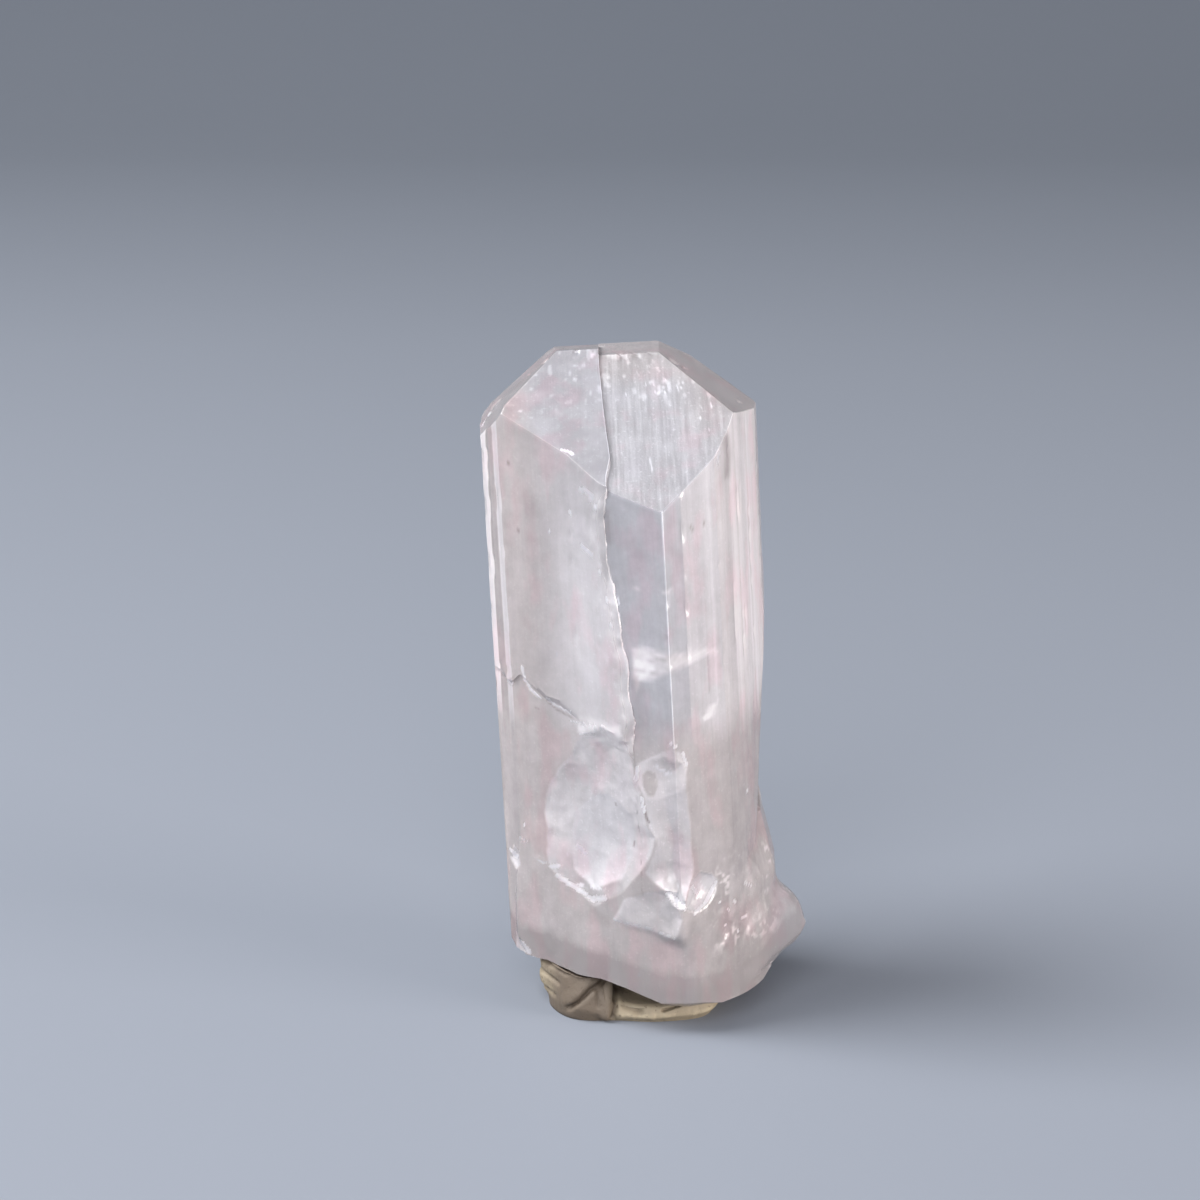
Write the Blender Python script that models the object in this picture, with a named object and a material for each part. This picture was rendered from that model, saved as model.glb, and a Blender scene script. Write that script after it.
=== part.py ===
"""A danburite crystal standing on a lump of display putty.

The crystal is two parallel prisms grown together, each closed by wedge-shaped dome faces. It is
modelled upright in its own axes and leans a few degrees to the left as a whole. Sizes are in
millimetres here and become metres when a mesh is stored.
"""

import math
import random

import bmesh
import bpy
from mathutils import Matrix, Vector

MM = 0.001

# Driving dimensions, in millimetres and degrees
LEAN = 3.1
RIDGE_Y = 0.5
TOP_BACK_Y = 3.7
RIGHT_TOP = 44.2
LEFT_TOP = 44.65
DOME_SLOPE = 0.88
SHOULDER_SLOPE = 0.70
TAPER_FROM = (10.28, 27.0)
TAPER_TO = (9.3, 16.9)
SOLID_BOTTOM = -3.0
PUTTY_GAP = 0.3
PUTTY_SIZE = (6.1, 5.9)
PUTTY_TONGUE = 1.15
LAYER_DROP = 0.5
LAYER_LIP = 0.35
BREAK_DROP = 0.2
BREAK_LIP = 0.9

# Prism outlines seen from above, counter-clockwise
RIGHT_PLAN = [
    (-0.3, -7.64), (3.6, -9.3), (4.85, -8.22), (7.15, -6.15), (8.1, -4.6), (8.75, -3.1), (9.35, -1.3),
    (10.1, 1.3), (10.25, 3.1), (9.0, 6.1), (6.6, 8.4), (2.7, 9.7), (-1.4, 8.9), (-2.4, 7.4), (-1.8, -4.8),
]
LEFT_PLAN = [
    (1.4, -9.4), (-2.4, -5.9), (-6.62, -3.2), (-6.95, -2.85), (-7.4, -1.9), (-8.05, -0.9), (-8.1, 1.6),
    (-7.4, 4.4), (-5.3, 7.0), (-2.0, 8.5), (1.4, 8.2),
]

# The faces that close each prism above: a point on the face, its slope across and its slope into the depth
RIGHT_TOP_FACES = {
    "front dome": ((0.0, RIDGE_Y, RIGHT_TOP), 0.0, DOME_SLOPE),
    "narrow top": ((0.0, RIDGE_Y, RIGHT_TOP), 0.0, 0.07),
    "right shoulder": ((3.96, RIDGE_Y, RIGHT_TOP), -SHOULDER_SLOPE, 0.07),
    "back dome": ((0.0, TOP_BACK_Y, RIGHT_TOP + 0.22), 0.0, -DOME_SLOPE),
    "back corner": ((8.4, 7.0, 38.9), -1.1, -0.9),
}
LEFT_TOP_FACES = {
    "front dome": ((0.0, RIDGE_Y, LEFT_TOP), 0.0, DOME_SLOPE),
    "narrow top": ((0.0, RIDGE_Y, LEFT_TOP), 0.0, -0.04),
    "back dome": ((0.0, TOP_BACK_Y - 1.0, LEFT_TOP - 0.1), 0.0, -DOME_SLOPE),
    "left shoulder": ((-2.72, RIDGE_Y, LEFT_TOP), SHOULDER_SLOPE + 0.07, 0.03),
    "left corner": ((-7.0, 0.0, 41.3), 1.5, 0.2),
    "back corner": ((-6.4, 5.4, 39.4), 1.0, -0.8),
}

# Seen from the front, the broken right edge of the left prism, from the foot to the summit
SEAM = [
    (1.05, -4.0), (1.0, 12.0), (0.95, 19.0), (1.1, 21.4), (0.8, 23.3), (0.95, 25.2), (0.6, 27.3),
    (0.5, 29.3), (0.15, 31.0), (-0.1, 32.6), (-0.12, 35.2), (0.16, 37.4), (0.45, 38.3), (0.3, 39.5),
    (0.15, 41.0), (0.0, 43.0), (0.0, 47.0),
]

# Seen from the front, the lower rim of the left prism's outer layer: across, depth of the bed behind, height
LAYER_RIM = [
    (-9.2, 0.4, 23.9), (-7.9, -0.6, 23.6), (-6.95, -2.3, 23.2), (-6.3, -2.9, 23.9), (-5.5, -3.4, 23.2),
    (-4.6, -3.95, 22.3), (-3.7, -4.55, 22.1), (-2.6, -5.2, 21.3), (-1.6, -6.1, 20.3), (-0.2, -7.45, 19.6),
    (1.7, -8.2, 19.2),
]

# Seen from the front, the rim of the break across the front edge, above the foot, in the same order
FRONT_BREAK_RIM = [
    (-1.7, -6.6, 7.4), (-0.9, -7.1, 8.1), (0.6, -7.75, 7.7), (2.2, -8.15, 7.0), (3.6, -8.2, 6.4),
    (4.3, -8.0, 7.6), (5.2, -7.5, 7.9), (6.4, -6.6, 7.0), (7.6, -5.4, 5.6), (8.4, -4.6, 4.4),
]

# Corner points of the swollen lower body, which closes the seam below the scars
LOWER_BODY = [
    (-7.0, -2.2, 12.5), (-3.2, -4.7, 13.0), (3.2, -5.2, 13.5), (7.0, -5.6, 13.0), (9.2, -1.2, 13.0),
    (9.3, 3.0, 13.5), (6.4, 8.0, 12.0), (2.6, 9.2, 12.0), (-5.0, 6.8, 11.0), (10.0, -1.8, 9.0),
    (10.1, 1.4, 10.0), (8.7, -4.2, 8.6), (-7.7, -1.9, 7.0), (-5.0, -4.3, 6.0), (-1.8, -6.7, 5.0),
    (7.4, -5.9, 4.6), (9.6, -3.0, 4.4), (10.2, 1.6, 3.8), (8.6, 5.4, 6.0), (2.7, 9.9, 5.0), (-5.2, 7.2, 6.0),
    (-7.7, -1.2, -3.0), (-2.0, -6.4, -3.0), (7.0, -5.6, -3.0), (9.0, -3.4, -3.0), (9.0, 3.8, -3.0),
    (2.7, 9.4, -3.0), (-5.2, 6.8, -3.0),
]

# Corner points of the spur at the foot's right
SPUR = [
    (11.72, -0.6, 6.6), (11.98, -1.0, 6.2), (12.08, -0.8, 5.4), (11.85, -1.1, 4.4), (11.25, -0.6, 3.6),
    (11.0, 0.9, 6.4), (11.0, -1.0, 6.85), (10.1, -0.7, 7.6), (10.4, -2.1, 5.6), (10.35, -1.8, 2.9),
    (10.1, 2.0, 6.9), (10.2, 1.9, 3.6), (9.4, -2.5, 6.6), (9.2, -3.2, 3.6), (8.0, 2.9, 8.6), (8.6, 3.4, 4.0),
    (9.2, -1.4, 8.8), (8.0, -3.0, 1.6), (7.0, 2.2, 2.0), (9.0, -1.0, 0.6), (7.6, -2.6, 9.5),
]

# Seen from the front, the lowest outline of the broken foot
FOOT_OUTLINE = [
    (-12.0, 4.9), (-8.3, 4.8), (-7.75, 3.9), (-5.6, 3.95), (-3.7, 3.3), (-2.1, 2.95), (-0.4, 2.2),
    (1.9, 0.95), (3.8, 0.75), (5.95, 0.85), (7.4, 1.05), (9.05, 1.45), (9.8, 2.15), (10.3, 2.75),
    (11.2, 3.6), (11.85, 4.5), (12.8, 6.6), (14.5, 8.0),
]
FOOT_STATIONS = [-13.0, -9.3, -8.0, -6.5, -5.0, -3.5, -1.5, 1.0, 4.0, 7.0, 10.0, 13.0]
FOOT_LOW_Y = -3.5
FOOT_BOW_FRONT = 0.055
FOOT_BOW_BACK = 0.022
FOOT_ROUGHNESS = 0.15

# Shell-shaped scars: centre, radii along, into and up the face, turn about the upright, tilt on the face
SCARS = {
    "scar_big": ((-2.85, -7.75, 14.5), (5.2, 3.2, 6.3), -35.0, 0.0),
    "scar_big_toe": ((-2.35, -7.35, 12.2), (3.5, 2.5, 3.9), -35.0, 0.0),
    "scar_front": ((4.1, -10.2, 14.1), (4.2, 3.0, 5.1), 10.0, 0.0),
    "scar_front_toe": ((4.9, -10.3, 10.9), (2.6, 2.3, 2.6), 20.0, 30.0),
    "scar_waist": ((11.6, 1.2, 16.9), (2.5, 3.6, 1.5), 0.0, 0.0),
    "scar_right_low": ((8.6, -6.2, 10.2), (2.6, 1.7, 3.2), 52.0, 10.0),
    "scar_left_low": ((-8.1, -3.4, 9.9), (1.4, 1.5, 1.1), -60.0, 20.0),
    "scar_back": ((4.6, 12.4, 13.0), (4.8, 4.2, 7.0), 0.0, -12.0),
    "scar_back_low": ((-4.4, 9.6, 8.6), (4.0, 3.2, 4.2), 0.0, 18.0),
}

# Heaps of the putty under the crystal: height, middle, half widths, and how square each heap's plan is
PUTTY_HEAPS = {
    "pinched lump": (6.0, (-4.6, -1.2), (2.8, 5.0), 4),
    "fold": (4.0, (-1.8, -3.6), (0.7, 2.2), 2),
    "heap behind": (7.0, (0.2, 1.9), (4.9, 3.7), 4),
}


def clear_scene():
    """Removes what the scene holds, so that the script starts from nothing."""
    for obj in list(bpy.data.objects):
        bpy.data.objects.remove(obj, do_unlink=True)


def finish_of(name, colour, roughness, transmission=0.0, ior=1.5):
    """A Principled material of one colour."""
    material = bpy.data.materials.new(name)
    material.use_nodes = True
    shader = material.node_tree.nodes["Principled BSDF"]
    shader.inputs["Base Color"].default_value = (*colour, 1.0)
    shader.inputs["Roughness"].default_value = roughness
    shader.inputs["Metallic"].default_value = 0.0
    shader.inputs["Transmission Weight"].default_value = transmission
    shader.inputs["IOR"].default_value = ior
    return material


def stored(name, shape, axis=None):
    """The object that holds a shape, in metres, riding on the axis empty if there is one."""
    bmesh.ops.recalc_face_normals(shape, faces=shape.faces)
    bmesh.ops.scale(shape, vec=(MM, MM, MM), verts=shape.verts)
    mesh = bpy.data.meshes.new(name)
    shape.to_mesh(mesh)
    shape.free()
    obj = bpy.data.objects.new(name, mesh)
    bpy.context.collection.objects.link(obj)
    obj.parent = axis
    return obj


def helper(name, shape, axis):
    """A shape that only cuts or joins another one."""
    obj = stored(name, shape, axis)
    obj.hide_render = True
    obj.display_type = "WIRE"
    return obj


def combine(target, tool, operation):
    """Adds a Boolean modifier that joins the tool to the target or cuts it away."""
    modifier = target.modifiers.new(tool.name, "BOOLEAN")
    modifier.object = tool
    modifier.operation = operation
    modifier.solver = "EXACT"


def prism(plan, low, high):
    """An upright prism on an outline."""
    shape = bmesh.new()
    base = shape.faces.new([shape.verts.new((x, y, low)) for x, y in plan])
    grown = bmesh.ops.extrude_face_region(shape, geom=[base])["geom"]
    risen = [item for item in grown if isinstance(item, bmesh.types.BMVert)]
    bmesh.ops.translate(shape, verts=risen, vec=(0.0, 0.0, high - low))
    return shape


def slice_off(shape, point, outward):
    """Cuts off what lies on the outward side of the plane through a point, and closes the cut."""
    bmesh.ops.bisect_plane(
        shape,
        geom=list(shape.verts) + list(shape.edges) + list(shape.faces),
        dist=1e-5,
        plane_co=Vector(point),
        plane_no=Vector(outward).normalized(),
        clear_outer=True,
    )
    rim = [edge for edge in shape.edges if edge.is_boundary]
    bmesh.ops.holes_fill(shape, edges=rim, sides=0)


def closed_prism(plan, top, faces):
    """An upright prism on an outline, cut off above by its sloping faces."""
    shape = prism(plan, SOLID_BOTTOM, top + 5.0)
    for point, slope_x, slope_y in faces.values():
        slice_off(shape, point, (-slope_x, -slope_y, 1.0))
    return shape


def loft(loops):
    """A closed solid through loops of equal length, with a flat cap at either end."""
    shape = bmesh.new()
    rows = [[shape.verts.new(point) for point in loop] for loop in loops]
    shape.faces.new(rows[0])
    shape.faces.new(rows[-1])
    for row, following in zip(rows, rows[1:]):
        for i in range(len(row)):
            j = (i + 1) % len(row)
            shape.faces.new((row[i], row[j], following[j], following[i]))
    return shape


def hull(points):
    """The faceted solid that has these points as its corners."""
    shape = bmesh.new()
    corners = [shape.verts.new(point) for point in points]
    bmesh.ops.convex_hull(shape, input=corners)
    loose = [vert for vert in shape.verts if not vert.link_faces]
    bmesh.ops.delete(shape, geom=loose, context="VERTS")
    return shape


def right_prism():
    """The right crystal, whose right side tapers downwards."""
    shape = closed_prism(RIGHT_PLAN, RIGHT_TOP, RIGHT_TOP_FACES)
    (wide, wide_z), (narrow, narrow_z) = TAPER_FROM, TAPER_TO
    slice_off(shape, (wide, 0.0, wide_z), (wide_z - narrow_z, 0.0, narrow - wide))
    return shape


def seam_cutter():
    """What lies to the right of the left prism's broken edge, through the whole depth."""
    far = 20.0
    front = [(x, -far, z) for x, z in SEAM] + [(far, -far, SEAM[-1][1]), (far, -far, SEAM[0][1])]
    back = [(x, far, z) for x, _, z in front]
    return loft([front, back])


def front_cutter(rim, drop, lip):
    """What is missing in front of a bed and below its rim, with an edge sloping over the drop and the lip."""
    front_y = -14.0
    low_z = -5.0
    sections = []
    for x, bed_y, rim_z in rim:
        bed = [(x, bed_y, low_z), (x, bed_y, rim_z - drop), (x, bed_y - lip, rim_z)]
        sections.append([(x, front_y, low_z)] + bed + [(x, front_y, rim_z + 0.6)])
    return loft(sections)


def foot_height(x, y):
    """Height of the foot's underside: the front outline, rising parabolically to the front and the back."""
    for (x0, z0), (x1, z1) in zip(FOOT_OUTLINE, FOOT_OUTLINE[1:]):
        if x <= x1:
            break
    along = min(max((x - x0) / (x1 - x0), 0.0), 1.0)
    bow = FOOT_BOW_FRONT if y < FOOT_LOW_Y else FOOT_BOW_BACK
    return z0 + (z1 - z0) * along + bow * (y - FOOT_LOW_Y) ** 2


def foot_cutter():
    """What lies under the broken foot: a solid whose upper side follows the foot's underside."""
    rough = random.Random(11)
    low_z = SOLID_BOTTOM - 4.0
    sections = []
    for y in FOOT_STATIONS:
        top = [(x, y, foot_height(x, y) + rough.uniform(-1, 1) * FOOT_ROUGHNESS) for x, _ in FOOT_OUTLINE]
        sections.append(top + [(top[-1][0], y, low_z), (top[0][0], y, low_z)])
    return loft(sections)


def shell(centre, radii, yaw, tilt):
    """An ellipsoid that scoops out a shell-shaped scar."""
    place = (
        Matrix.Translation(centre)
        @ Matrix.Rotation(math.radians(yaw), 4, "Z")
        @ Matrix.Rotation(math.radians(tilt), 4, "Y")
        @ Matrix.Diagonal((*radii, 1.0))
    )
    shape = bmesh.new()
    bmesh.ops.create_icosphere(shape, subdivisions=4, radius=1.0, matrix=place)
    return shape


def make_crystal(axis):
    """Joins the two prisms, the lower body and the spur, then cuts the foot and the scars."""
    left = helper("left_prism", closed_prism(LEFT_PLAN, LEFT_TOP, LEFT_TOP_FACES), axis)
    combine(left, helper("seam_cutter", seam_cutter(), axis), "DIFFERENCE")
    combine(left, helper("layer_cutter", front_cutter(LAYER_RIM, LAYER_DROP, LAYER_LIP), axis), "DIFFERENCE")

    crystal = stored("crystal", right_prism(), axis)
    combine(crystal, left, "UNION")
    combine(crystal, helper("lower_body", hull(LOWER_BODY), axis), "UNION")
    combine(crystal, helper("spur", hull(SPUR), axis), "UNION")
    front_break = front_cutter(FRONT_BREAK_RIM, BREAK_DROP, BREAK_LIP)
    combine(crystal, helper("front_break", front_break, axis), "DIFFERENCE")
    combine(crystal, helper("foot_cutter", foot_cutter(), axis), "DIFFERENCE")
    for name, scar in SCARS.items():
        combine(crystal, helper(name, shell(*scar), axis), "DIFFERENCE")
    crystal.data.materials.append(finish_of("danburite", (0.62, 0.53, 0.54), 0.25, 0.6, 1.63))


def underside(x, y):
    """Height of the leaning crystal's underside above a point of the floor."""
    lean = math.radians(LEAN)
    height = 0.0
    for _ in range(6):
        own_x = x * math.cos(lean) + height * math.sin(lean)
        height = foot_height(own_x, y) * math.cos(lean) + own_x * math.sin(lean)
    return height


def putty_rim(angle):
    """Distance of the putty's edge from its centre: a rounded square, dented where it was pinched."""
    width, depth = PUTTY_SIZE
    power = 2.4
    base = (abs(math.cos(angle) / width) ** power + abs(math.sin(angle) / depth) ** power) ** (-1 / power)
    return base * (1.0 + 0.022 * math.sin(5 * angle + 0.6) + 0.014 * math.sin(9 * angle + 2.1))


def putty_free_top(x, y):
    """Height of the putty where no crystal presses on it: its heaps, and an uneven tongue between them."""
    height = PUTTY_TONGUE + 0.25 * math.sin(0.9 * x + 0.5) * math.cos(0.7 * y)
    for top, (mid_x, mid_y), (half_x, half_y), power in PUTTY_HEAPS.values():
        fall = ((x - mid_x) / half_x) ** power + ((y - mid_y) / half_y) ** power
        height = max(height, top * math.exp(-fall))
    return height


def make_putty():
    """Rings from the rim on the floor up over the top, pressed down under the crystal."""
    turns = 72
    rings = 12
    foot_share = 0.96
    thin = 0.25
    angles = [2 * math.pi * i / turns for i in range(turns)]
    edge = [(foot_share * putty_rim(a), a) for a in angles]
    rows = [[(reach * math.cos(a), reach * math.sin(a), 0.0) for reach, a in edge]]
    for ring in range(rings):
        inward = ring / rings
        rise = math.sqrt(1.0 - (1.0 - min(1.0, 0.4 + 3.2 * inward)) ** 2)
        row = []
        for a in angles:
            reach = putty_rim(a) * (1.0 - inward ** 1.3)
            x = reach * math.cos(a)
            y = reach * math.sin(a)
            height = min(putty_free_top(x, y) * rise, underside(x, y) - PUTTY_GAP)
            row.append((x, y, max(height, thin)))
        rows.append(row)
    putty = stored("putty", loft(rows))
    putty.data.materials.append(finish_of("putty", (0.37, 0.29, 0.20), 0.85))


def main():
    clear_scene()
    axis = bpy.data.objects.new("crystal_axis", None)
    bpy.context.collection.objects.link(axis)
    axis.rotation_euler = (0.0, -math.radians(LEAN), 0.0)
    make_crystal(axis)
    make_putty()


main()
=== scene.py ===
"""Danburite crystal on a lump of display putty: the looks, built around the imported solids.

The crystal is modelled in its own upright axes in millimetres, as rings of points that run from the foot
over the prism faces and the dome faces to the summit, and is then leaned to the left and scaled to metres.
"""

import math

import bmesh
import bpy
import numpy as np
from bpy.props import FloatProperty, PointerProperty, StringProperty
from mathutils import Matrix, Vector


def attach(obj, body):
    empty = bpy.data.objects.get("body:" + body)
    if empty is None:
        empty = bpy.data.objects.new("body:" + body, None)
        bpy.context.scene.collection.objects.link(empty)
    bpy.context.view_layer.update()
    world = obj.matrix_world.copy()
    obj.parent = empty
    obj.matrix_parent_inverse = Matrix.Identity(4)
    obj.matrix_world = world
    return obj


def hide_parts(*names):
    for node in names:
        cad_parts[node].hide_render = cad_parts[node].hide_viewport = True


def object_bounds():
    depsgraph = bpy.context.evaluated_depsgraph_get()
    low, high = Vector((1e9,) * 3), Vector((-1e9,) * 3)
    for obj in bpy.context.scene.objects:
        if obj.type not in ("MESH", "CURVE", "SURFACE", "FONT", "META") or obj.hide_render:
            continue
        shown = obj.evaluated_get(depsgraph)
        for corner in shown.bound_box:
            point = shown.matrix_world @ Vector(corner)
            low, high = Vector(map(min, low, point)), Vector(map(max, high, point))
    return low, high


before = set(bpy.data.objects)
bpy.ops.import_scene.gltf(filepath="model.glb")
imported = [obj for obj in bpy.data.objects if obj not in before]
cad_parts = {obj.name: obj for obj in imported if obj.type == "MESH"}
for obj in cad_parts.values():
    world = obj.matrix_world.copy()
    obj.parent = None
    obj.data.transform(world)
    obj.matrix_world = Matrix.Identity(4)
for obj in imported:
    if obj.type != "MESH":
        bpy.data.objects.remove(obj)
CAD_LOW, CAD_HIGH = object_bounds()

bl_info = {
    "name": "Danburite Specimen",
    "version": (1, 0, 0),
    "blender": (4, 5, 0),
    "location": "View3D > Sidebar > Specimen",
    "description": "Builds a danburite crystal on display putty, with its floor and lights",
    "category": "Add Mesh",
}

MM = 0.001

# The crystal in its own upright axes, in millimetres and degrees, as in the solids
LEAN = 3.1
RIDGE_Y = 0.5
TOP_BACK_Y = 3.7
RIGHT_TOP = 44.2
LEFT_TOP = 44.65
DOME_SLOPE = 0.88
SHOULDER_SLOPE = 0.70
TAPER_FROM = (10.28, 27.0)
TAPER_TO = (9.3, 16.9)

# The faces that close each prism above: a point on the face, its slope across and its slope into the depth
RIGHT, LEFT = 0, 1
TOP_FACES = {
    RIGHT: [
        ((0.0, RIDGE_Y, RIGHT_TOP), 0.0, DOME_SLOPE),
        ((0.0, RIDGE_Y, RIGHT_TOP), 0.0, 0.07),
        ((3.96, RIDGE_Y, RIGHT_TOP), -SHOULDER_SLOPE, 0.07),
        ((0.0, TOP_BACK_Y, RIGHT_TOP + 0.22), 0.0, -DOME_SLOPE),
        ((8.4, 7.0, 38.9), -1.1, -0.9),
    ],
    LEFT: [
        ((0.0, RIDGE_Y, LEFT_TOP), 0.0, DOME_SLOPE),
        ((0.0, RIDGE_Y, LEFT_TOP), 0.0, -0.04),
        ((0.0, TOP_BACK_Y - 1.0, LEFT_TOP - 0.1), 0.0, -DOME_SLOPE),
        ((-2.72, RIDGE_Y, LEFT_TOP), SHOULDER_SLOPE + 0.07, 0.03),
        ((-7.0, 0.0, 41.3), 1.5, 0.2),
        ((-6.4, 5.4, 39.4), 1.0, -0.8),
    ],
}

# Guide lines up the prism edges, counter-clockwise from the seam's foot on the right crystal: place on the
# prism's outline, end on the top's outline, crystal, and the number of columns up to the next guide.
# The first and the last stand on the broken seam, and their places across follow it.
GUIDES = [
    ((1.0, -8.2), (0.0, 0.5), RIGHT, 28),
    ((3.6, -9.3), (1.25, 0.5), RIGHT, 16),
    ((4.85, -8.22), (1.9, 0.5), RIGHT, 30),
    ((7.15, -6.15), (2.9, 0.5), RIGHT, 18),
    ((8.1, -4.6), (3.5, 0.5), RIGHT, 12),
    ((8.6, -3.45), (3.96, 0.5), RIGHT, 4),
    ((8.75, -3.1), (3.97, 0.75), RIGHT, 16),
    ((9.35, -1.3), (3.98, 1.4), RIGHT, 18),
    ((10.1, 1.3), (4.0, 2.4), RIGHT, 10),
    ((10.25, 3.1), (4.0, 3.0), RIGHT, 10),
    ((9.0, 6.1), (4.0, 3.5), RIGHT, 4),
    ((8.2, 6.85), (4.0, 3.7), RIGHT, 6),
    ((6.6, 8.4), (2.9, 3.7), RIGHT, 11),
    ((2.7, 9.7), (1.3, 3.7), RIGHT, 11),
    ((-1.4, 8.9), (0.02, 3.7), RIGHT, 3),
    ((-1.72, 8.48), (-0.02, 3.7), LEFT, 10),
    ((-5.3, 7.0), (-2.0, 2.75), LEFT, 5),
    ((-6.4, 5.63), (-2.92, 2.69), LEFT, 5),
    ((-7.4, 4.4), (-2.9, 2.3), LEFT, 9),
    ((-8.1, 1.6), (-2.85, 1.6), LEFT, 12),
    ((-8.05, -0.9), (-2.8, 1.1), LEFT, 10),
    ((-7.68, -1.47), (-2.76, 0.8), LEFT, 9),
    ((-7.22, -2.42), (-2.73, 0.55), LEFT, 6),
    ((-6.85, -2.98), (-2.72, 0.5), LEFT, 46),
    ((-2.4, -5.9), (-1.2, 0.5), LEFT, 44),
    ((1.0, -9.03), (0.0, 0.5), LEFT, 4),
]

# Faces and edges of the prisms, by the number of the guide that each begins at
SEAM_FOOT = 0
FRONT_EDGE = 1
FIRST_LEFT = 15
LEFT_SIDE = 19
BEVEL_FACE = 20
DARK_STRIP = 21
PALE_LINE = 22
LEFT_FACE = 23
MILKY_FACE = 24
SEAM_LIP = len(GUIDES) - 1
CALM_FACES = (SEAM_FOOT, FRONT_EDGE, DARK_STRIP, LEFT_FACE, MILKY_FACE)

# In plan: the top's middle, the upright axis that columns run out from, and the middle of the foot
SUMMIT = (0.0, 2.9)
AXIS = (1.0, 0.3)
FOOT_CENTRE = (0.6, -0.2)

# Rows of points: under the foot, foot to ledge, ledge to shoulder, the two bands of the domes, the top
ROWS_UNDER = 12
ROWS_LOWER = 140
ROWS_UPPER = 62
ROWS_EDGE = 10
ROWS_DOME = 44
ROWS_TOP = 8
FIRST_CAP_ROW = ROWS_UNDER + ROWS_LOWER + ROWS_UPPER + 1

# Where the rows pass from the lower to the upper body: on the right prism, and on the left one's side and,
# lower by the drop, on its back
ROW_LEDGE_RIGHT = 20.0
ROW_LEDGE_LEFT = 23.9
ROW_LEDGE_DROP = 3.9

# Heights that depend on their own places are found in rounds: of the foot and the shoulder, and of the
# leaning underside
HEIGHT_ROUNDS = 12
UNDERSIDE_ROUNDS = 6

# Seen from the front, the broken right edge of the left prism, from the foot to the summit
SEAM = [
    (1.05, -4.0), (1.0, 12.0), (0.95, 19.0), (1.1, 21.4), (0.8, 23.3), (0.95, 25.2), (0.6, 27.3),
    (0.5, 29.3), (0.15, 31.0), (-0.1, 32.6), (-0.12, 35.2), (0.16, 37.4), (0.45, 38.3), (0.3, 39.5),
    (0.15, 41.0), (0.0, 43.0), (0.0, 47.0),
]

# The seam is ragged below the domes. The two prisms stand apart there by a gap, and the left layer thins
# beside it, over the wear's width, until it stands out from the right prism's window by the step alone.
SEAM_SMOOTH_Z = 38.5
SEAM_JAG = 0.14
SEAM_GAP = 0.02
SEAM_STEP = 0.07
SEAM_WEAR = 1.5
SEAM_WORN_OUT = 0.2
FRONT_FACES_Y = -4.0

# Seen from the front, the lower rim of the left prism's outer layer: place across, how deep the bed behind
# it lies, and height
LAYER_RIM = [
    (-9.2, 0.4, 23.9), (-7.9, -0.6, 23.6), (-6.95, -2.3, 23.2), (-6.3, -3.05, 23.9), (-5.5, -3.6, 23.2),
    (-4.6, -4.15, 22.3), (-3.7, -4.75, 22.1), (-2.6, -5.6, 21.3), (-1.6, -6.62, 20.3), (-0.2, -7.75, 19.6),
    (1.7, -8.5, 19.2),
]
LAYER_DROP = 0.12
LAYER_LIP = 0.15
LAYER_SEED = 11

# Seen from the front, the rim of the break across the front edge, above the foot, in the same order
FRONT_BREAK_RIM = [
    (-1.7, -7.2, 7.4), (-0.9, -7.2, 8.1), (0.6, -7.75, 7.7), (2.2, -8.15, 7.0), (3.6, -8.2, 6.4),
    (4.3, -8.0, 7.6), (5.2, -7.5, 7.9), (6.4, -6.6, 7.0), (7.6, -5.4, 5.6), (8.4, -4.6, 4.4),
]
BREAK_DROP = 0.2
BREAK_LIP = 0.9
BREAK_SEED = 12
BREAK_BEHIND_Y = -2.0
BREAK_FADES_IN = (-1.7, -0.5)
BREAK_FADES_OUT = (3.2, 5.2)

# Both rims are ragged, and the step at them runs from just above the rim to just below it
RIM_JAG = 0.11
RIM_STEP = (-0.06, 0.04)

# Corner points of the swollen lower body, which closes the seam below the scars
LOWER_BODY = [
    (-7.0, -2.2, 12.5), (-3.2, -4.7, 13.0), (3.2, -5.2, 13.5), (7.0, -5.6, 13.0), (9.2, -1.2, 13.0),
    (9.3, 3.0, 13.5), (6.4, 8.0, 12.0), (2.6, 9.2, 12.0), (-5.0, 6.8, 11.0), (10.0, -1.8, 9.0),
    (10.1, 1.4, 10.0), (8.7, -4.2, 8.6), (-7.7, -1.9, 7.0), (-5.0, -4.3, 6.0), (-3.0, -5.9, 5.5),
    (-1.8, -6.6, 5.2), (0.4, -7.1, 5.0), (3.5, -7.1, 5.0),
    (7.4, -5.9, 4.6), (9.6, -3.0, 4.4), (10.2, 1.6, 3.8), (8.6, 5.4, 6.0), (2.7, 9.9, 5.0),
    (-5.2, 7.2, 6.0), (-7.7, -1.2, -3.0), (-2.8, -5.8, -3.0), (-1.2, -6.5, -3.0), (1.0, -6.8, -3.0),
    (7.0, -5.6, -3.0), (9.0, -3.4, -3.0), (9.0, 3.8, -3.0), (2.7, 9.4, -3.0), (-5.2, 6.8, -3.0),
]

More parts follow.
